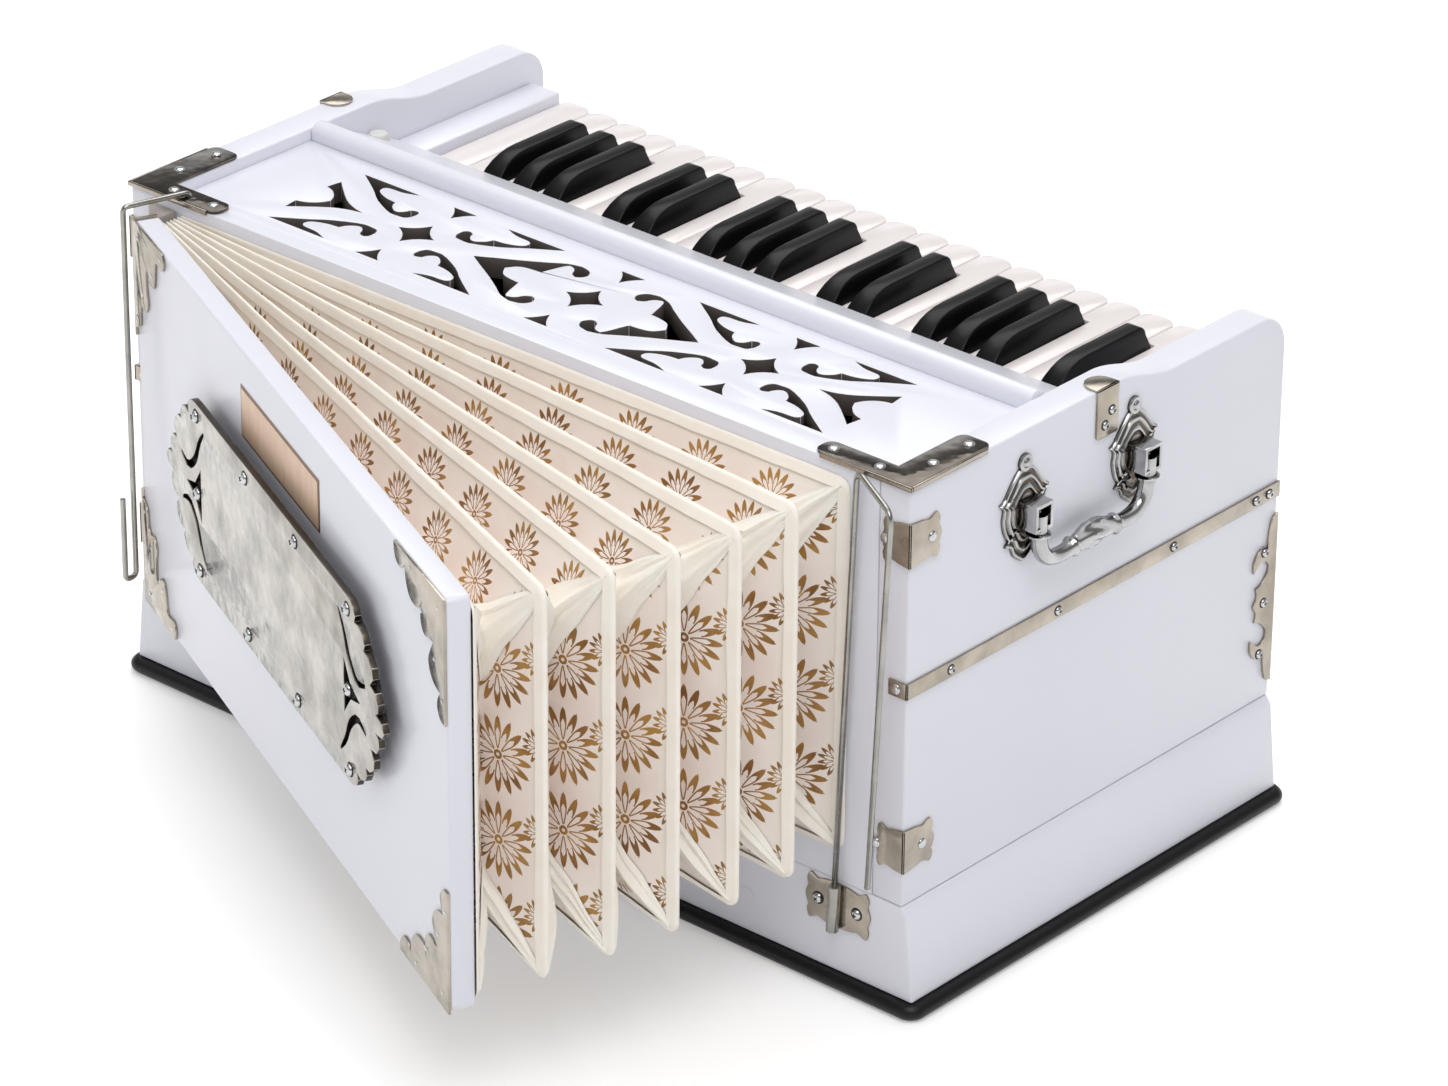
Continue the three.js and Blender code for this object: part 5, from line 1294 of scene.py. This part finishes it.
def add_backing(node_name, body):
    """A black board, painted shadow that shows through the nameplate's openings, on a smaller block in
    white paint.
    """
    points = []
    for vert in frame["nodes"][node_name].data.vertices:
        offset = vert.co - FLAP_ROOT
        points.append((offset.dot(FLAP_ALONG) - PLATE_MIDDLE[0], offset.z - PLATE_MIDDLE[1]))
    hull = [points[i] for i in convex_hull_2d(points)]
    work = bmesh.new()
    for index, (top, bottom, share_a, share_b) in enumerate(BACKING_LAYERS):
        outline = shift([(a * share_a, b * share_b) for a, b in hull], *PLATE_MIDDLE)
        prism(work, outline, PLATE_FACE - bottom, PLATE_FACE - top, on_flap, index)
    finish_piece("nameplate_backing", work, ["dark_inside", "white_paint"], body)


def add_lining():
    """Black walls under the fretwork, painted shade, so the openings look into an unlit case."""
    low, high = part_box("fretwork_panel")
    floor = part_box("reed_board")[1][2]
    work = bmesh.new()
    wall = LINING_WALL
    x0, x1, y0, y1 = low[0] + wall, high[0] - wall, low[1] + wall, high[1] - wall
    walls = [
        (x0, x1, y0, y0 + wall), (x0, x1, y1 - wall, y1),
        (x0, x0 + wall, y0 + wall, y1 - wall), (x1 - wall, x1, y0 + wall, y1 - wall),
    ]
    for place in walls:
        block(work, *place, floor, low[2] - wall)
    finish_piece("case_lining", work, ["dark_inside"], "case")


def add_small_things():
    """The cover of the bellows' hinge, a plug in the plinth and a rubber stop beside the keys."""
    work = bmesh.new()
    prism(work, HINGE_COVER, HINGE_COVER_LOW, HINGE_COVER_TOP, on_floor)
    add_fitting("hinge_cover", work, ["hinge_cloth"])
    work = bmesh.new()
    revolve(work, [(PLUG_RADIUS, 0), (PLUG_RADIUS - PLUG_RISE, PLUG_RISE)], PLUG_PLACE, (0, -1, 0))
    finish_piece("plinth_plug", work, ["white_paint"], "case")
    work = bmesh.new()
    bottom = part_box("key_bed")[1][2]
    profile = [(r * STOP_RADIUS, h * STOP_HEIGHT) for r, h in STOP_SHARES]
    revolve(work, profile, (*STOP_PLACE, bottom), (0, 0, 1))
    finish_piece("rubber_stop", work, ["milky_plastic"], "case")


def add_rosette(sign, end, name):
    """A cast cartouche in raised rings, with an ear, a rivet and a square socket for the bail."""
    centre_y = HANDLE_Y + end * HANDLE_HALF_SPAN

    def lay(a, b, height):
        return Vector((sign * (HALF_LENGTH + height), centre_y + a, HANDLE_AXIS_Z + b))

    half = curve_through(ROSETTE_SHARES, ROSETTE_WIDTH, ROSETTE_HEIGHT, CAST_RUN_STEPS)
    outline = half + flip(half[:0:-1], -1)
    count = len(outline)
    work = bmesh.new()
    faces = skin(work, [
        [lay(a * share, b * share, height) for a, b in outline] for share, height in ROSETTE_RINGS
    ])
    # The recessed rings get a darker metal: painted shade in the hollows
    for ring in RECESSED_RINGS:
        start = 2 + ring * count
        for face in faces[start:start + count]:
            face.material_index = 2
    ear = (sign * HALF_LENGTH, centre_y, HANDLE_AXIS_Z + EAR_HEIGHT)
    revolve(work, scaled(EAR_PROFILE, EAR_RADIUS), ear, (sign, 0, 0))
    w, h, t = SOCKET_WIDTH / 2, SOCKET_HEIGHT / 2, SOCKET_WALL
    foot, reach = SOCKET_FOOT, SOCKET_REACH
    sides = [
        (-w, w, -h, -h + t), (-w, w, h - t, h),
        (-w, -w + t, -h + t, h - t), (w - t, w, -h + t, h - t),
    ]
    for side in sides:
        prism(work, rectangle(*side), foot, reach, lay)
    prism(work, rectangle(-w + t, w - t, -h + t, 0), reach - t * 2, reach - t / 2, lay)
    # A black block inside the socket: painted shade
    prism(work, rectangle(-w + t, w - t, -h + t, h - t), foot, reach / 2, lay, 1)
    pin = (sign * (HALF_LENGTH + reach / 2), centre_y, HANDLE_AXIS_Z + t)
    revolve(work, scaled(DOME_SHARES, PIN_RADIUS, 2), pin, (sign, 0, 0))
    finish_piece(name + "_cast", work, ["chrome", "dark_inside", "tarnish"], "case", (name,), CAST_ROUND)


def bail_point(u):
    """The bail's middle line, a squared-off U. u runs from -1 at one socket to 1 at the other."""
    angle = math.pi / 2 * math.copysign(abs(u) ** BAIL_EASE, u)
    y = math.copysign(abs(math.sin(angle)) ** BAIL_SQUARENESS, u)
    z = -abs(math.cos(angle)) ** BAIL_DROP_SQUARENESS
    lift = BAIL_LIFT_SHARE * math.exp(-(y / BAIL_LIFT_REACH_SHARE) ** 2)
    return Vector((0, y * HANDLE_HALF_SPAN, (z + lift) * BAIL_DROP))


def bail_spoke(y, angle):
    """Away from the board and along it, from the middle line: a flat twisted leaf between beads."""
    away = abs(y) / HANDLE_HALF_SPAN
    swell = math.exp(-(away / SWELL_REACH_SHARE) ** 2)
    swell *= 1 - WAIST_SHARE * math.exp(-(away / WAIST_REACH_SHARE) ** 2)
    bead = math.exp(-((away - BEAD_PLACE_SHARE) / BEAD_REACH_SHARE) ** 2)
    turn = LEAF_COUNT * angle + LEAF_TWIST * y / HANDLE_HALF_SPAN
    leaf = 1 + LEAF_DEPTH_SHARE * swell * math.cos(turn)
    radius = BAIL_RADIUS * (1 + SHOULDER_SWELL_SHARE * away) + (BAIL_CENTRE_RADIUS - BAIL_RADIUS) * swell
    spoke = (radius + BEAD_RISE * bead) * leaf
    return spoke * math.cos(angle) * (1 - KNOP_FLAT_SHARE * swell), spoke * math.sin(angle)


def add_bail(sign, body):
    """The bail in one tube along its middle line, with a turned collar under each socket."""
    origin = Vector((sign * (HALF_LENGTH + BAIL_STANDOFF), HANDLE_Y, HANDLE_AXIS_Z))
    across = Vector((1, 0, 0))
    middles = [bail_point(step * 2 / BAIL_STEPS - 1) for step in range(BAIL_STEPS + 1)]
    rings = []
    for step, middle in enumerate(middles):
        ahead = middles[min(step + 1, BAIL_STEPS)] - middles[max(step - 1, 0)]
        out = across.cross(ahead.normalized())
        ring = []
        for i in range(BAIL_SIDES):
            away, along = bail_spoke(middle.y, math.tau * i / BAIL_SIDES)
            ring.append(origin + middle + across * away + out * along)
        rings.append(ring)
    work = bmesh.new()
    skin(work, rings)
    for end in (-1, 1):
        foot = origin + Vector((0, end * HANDLE_HALF_SPAN, -COLLAR_DROP))
        revolve(work, scaled(COLLAR_SHARES, BAIL_RADIUS), foot, (0, 0, 1))
    finish_piece(body + "_cast", work, ["chrome"], body, (body,))


def add_handles():
    for side_name, sign in (("right", 1), ("left", -1)):
        add_rosette(sign, -1, f"rosette_{side_name}_front")
        add_rosette(sign, 1, f"rosette_{side_name}_rear")
        add_bail(sign, f"handle_{side_name}")


def dress_nameplate(node_name, body):
    metals = ["nameplate_steel", "plate_edge"]
    rounded_copy(node_name, body, metals, METAL_ROUND, plate_sides, reshape=thin_plate)
    add_backing(node_name, body)


# A start of some nodes' names, with the look and the rounding of the copy that dresses them
PLAIN_COPIES = {
    "white_key": ("white_key", KEY_ROUND, SMOOTH_ANGLE),
    "black_key": ("black_key", KEY_ROUND, SMOOTH_ANGLE),
    "base_board": ("black_paint", BOARD_ROUND, SMOOTH_ANGLE),
    "bellows_board": ("white_paint", BOARD_ROUND, SMOOTH_ANGLE),
    "player_board": ("white_paint", BOARD_ROUND, SMOOTH_ANGLE),
    "key_bed": ("white_paint", BOARD_ROUND, SMOOTH_ANGLE),
    "key_rail": ("white_paint", BOARD_ROUND, SMOOTH_ANGLE),
    "clip_": ("wire_steel", 0, WIRE_SMOOTH_ANGLE),
}


def dress_solids():
    """A finished copy of each solid that isn't made again elsewhere, or a look on the solid itself."""
    bodies = frame["record"]["behaviour"]["bodies"]
    for body, node_names in bodies.items():
        for node_name in node_names:
            for start, (look, width, smooth_angle) in PLAIN_COPIES.items():
                if node_name.startswith(start):
                    rounded_copy(node_name, body, [look], width, smooth_angle=smooth_angle)
            if node_name == "nameplate":
                dress_nameplate(node_name, body)
            elif node_name == "fretwork_panel":
                paints = ["white_paint", "fret_stain"]
                rounded_copy(node_name, body, paints, METAL_ROUND, hole_walls(node_name))
            elif node_name == "reed_board":
                # The reed board is made black: painted shade seen through the fretwork
                materials = frame["nodes"][node_name].data.materials
                materials.clear()
                materials.append(looks["dark_inside"])


def add_camera():
    data = bpy.data.cameras.new("camera")
    camera = bpy.data.objects.new("camera", data)
    bpy.context.scene.collection.objects.link(camera)
    away = Vector((
        math.sin(CAMERA_AZIMUTH) * math.cos(CAMERA_ELEVATION),
        -math.cos(CAMERA_AZIMUTH) * math.cos(CAMERA_ELEVATION),
        math.sin(CAMERA_ELEVATION),
    ))
    right = Vector((0, 0, 1)).cross(away).normalized()
    up = away.cross(right)
    turned_right = right * math.cos(CAMERA_ROLL) + up * math.sin(CAMERA_ROLL)
    turned_up = up * math.cos(CAMERA_ROLL) - right * math.sin(CAMERA_ROLL)
    camera.rotation_euler = Matrix((turned_right, turned_up, away)).transposed().to_euler()
    camera.location = CAMERA_TARGET + away * CAMERA_DISTANCE
    data.sensor_width = SENSOR_WIDTH
    data.lens = FOCAL_PIXELS / IMAGE_WIDTH * SENSOR_WIDTH
    data.clip_end = CAMERA_DISTANCE * CLIP_SHARE
    bpy.context.scene.camera = camera


FLOOR_HALF = 6
FLOOR_COLOUR = (0.92, 0.92, 0.92, 1)
FLOOR_ROUGHNESS = 0.9
FLOOR_GLOW = 0.3


def add_floor():
    """A pale floor, which glows a little as the camera, reflections and glass see it."""
    corners = [on_floor(a, b, 0) for a, b in rectangle(-FLOOR_HALF, FLOOR_HALF, -FLOOR_HALF, FLOOR_HALF)]
    material, node, feed, place = new_material("floor")
    feed("Roughness", FLOOR_ROUGHNESS)
    feed("Base Color", FLOOR_COLOUR)
    rays = node("ShaderNodeLightPath").outputs
    seen = rays["Is Camera Ray"]
    for kind in ("Is Glossy Ray", "Is Transmission Ray"):
        seen = node("ShaderNodeMath", {0: seen, 1: rays[kind]}, operation="MAXIMUM").outputs["Value"]
    glow = node("ShaderNodeMath", {0: seen, 1: FLOOR_GLOW}, operation="MULTIPLY")
    feed("Emission Color", (1, 1, 1, 1))
    feed("Emission Strength", glow.outputs["Value"])
    mesh = bpy.data.meshes.new("floor")
    mesh.from_pydata(corners, [], [(0, 1, 2, 3)])
    mesh.materials.append(material)
    floor = bpy.data.objects.new("floor", mesh)
    bpy.context.scene.collection.objects.link(floor)


def add_lamp(name, place, size, power):
    data = bpy.data.lights.new(name, "AREA")
    data.shape = "SQUARE"
    data.size = size
    data.energy = power
    lamp = bpy.data.objects.new(name, data)
    bpy.context.scene.collection.objects.link(lamp)
    lamp.location = place
    lamp.rotation_euler = (-Vector(place)).to_track_quat("-Z", "Y").to_euler()


# How bright the surroundings are, from the horizon to the zenith
WORLD_LEVELS = [(0.12, 1), (0.3, 0.3), (0.62, 0.22), (0.85, 1)]
WORLD_WAVES = (1.4, 1)
WORLD_UNEVEN = 0.3

# Name, place in metres, side in metres and power in watts
LAMPS = [
    ("key_lamp", (1.2, -1.0, 2.6), 1.6, 25),
    ("front_lamp", (-1.4, -2.4, 1.3), 1.6, 4.5),
    ("top_lamp", (-0.8, 0.9, 2.2), 1.8, 22),
]


def add_studio():
    """Soft lamps in a pale room, a little darker halfway up, so that metal has something to reflect."""
    scene = bpy.context.scene
    scene.view_settings.view_transform = "Standard"
    world = bpy.data.worlds.new("studio")
    scene.world = world
    world.use_nodes = True
    plug, node = node_tools(world.node_tree)
    direction = node("ShaderNodeTexCoord").outputs["Generated"]
    waves = noise(node, direction, *WORLD_WAVES)
    rise = node("ShaderNodeSeparateXYZ", {"Vector": direction}).outputs["Z"]
    height = node("ShaderNodeMath", {0: rise, 1: WORLD_UNEVEN / 2}, operation="SUBTRACT")
    inputs = {0: waves, 1: WORLD_UNEVEN, 2: height.outputs["Value"]}
    uneven = node("ShaderNodeMath", inputs, operation="MULTIPLY_ADD")
    ramp = node("ShaderNodeValToRGB", {"Fac": uneven.outputs["Value"]})
    for position, level in WORLD_LEVELS:
        element = ramp.color_ramp.elements.new(position)
        element.color = (level, level, level, 1)
    for extreme in (ramp.color_ramp.elements[0], ramp.color_ramp.elements[-1]):
        extreme.color = (1, 1, 1, 1)
    background = world.node_tree.nodes["Background"].inputs
    plug(background, "Color", ramp.outputs["Color"])
    plug(background, "Strength", 1)
    for name, place, size, power in LAMPS:
        add_lamp(name, place, size, power)


add_camera()
dress_solids()
add_side("side_right", 1)
add_side("side_left", -1)
add_plinth()
add_lining()
add_small_things()
add_handles()
add_flap()
add_bellows()
add_floor()
add_studio()
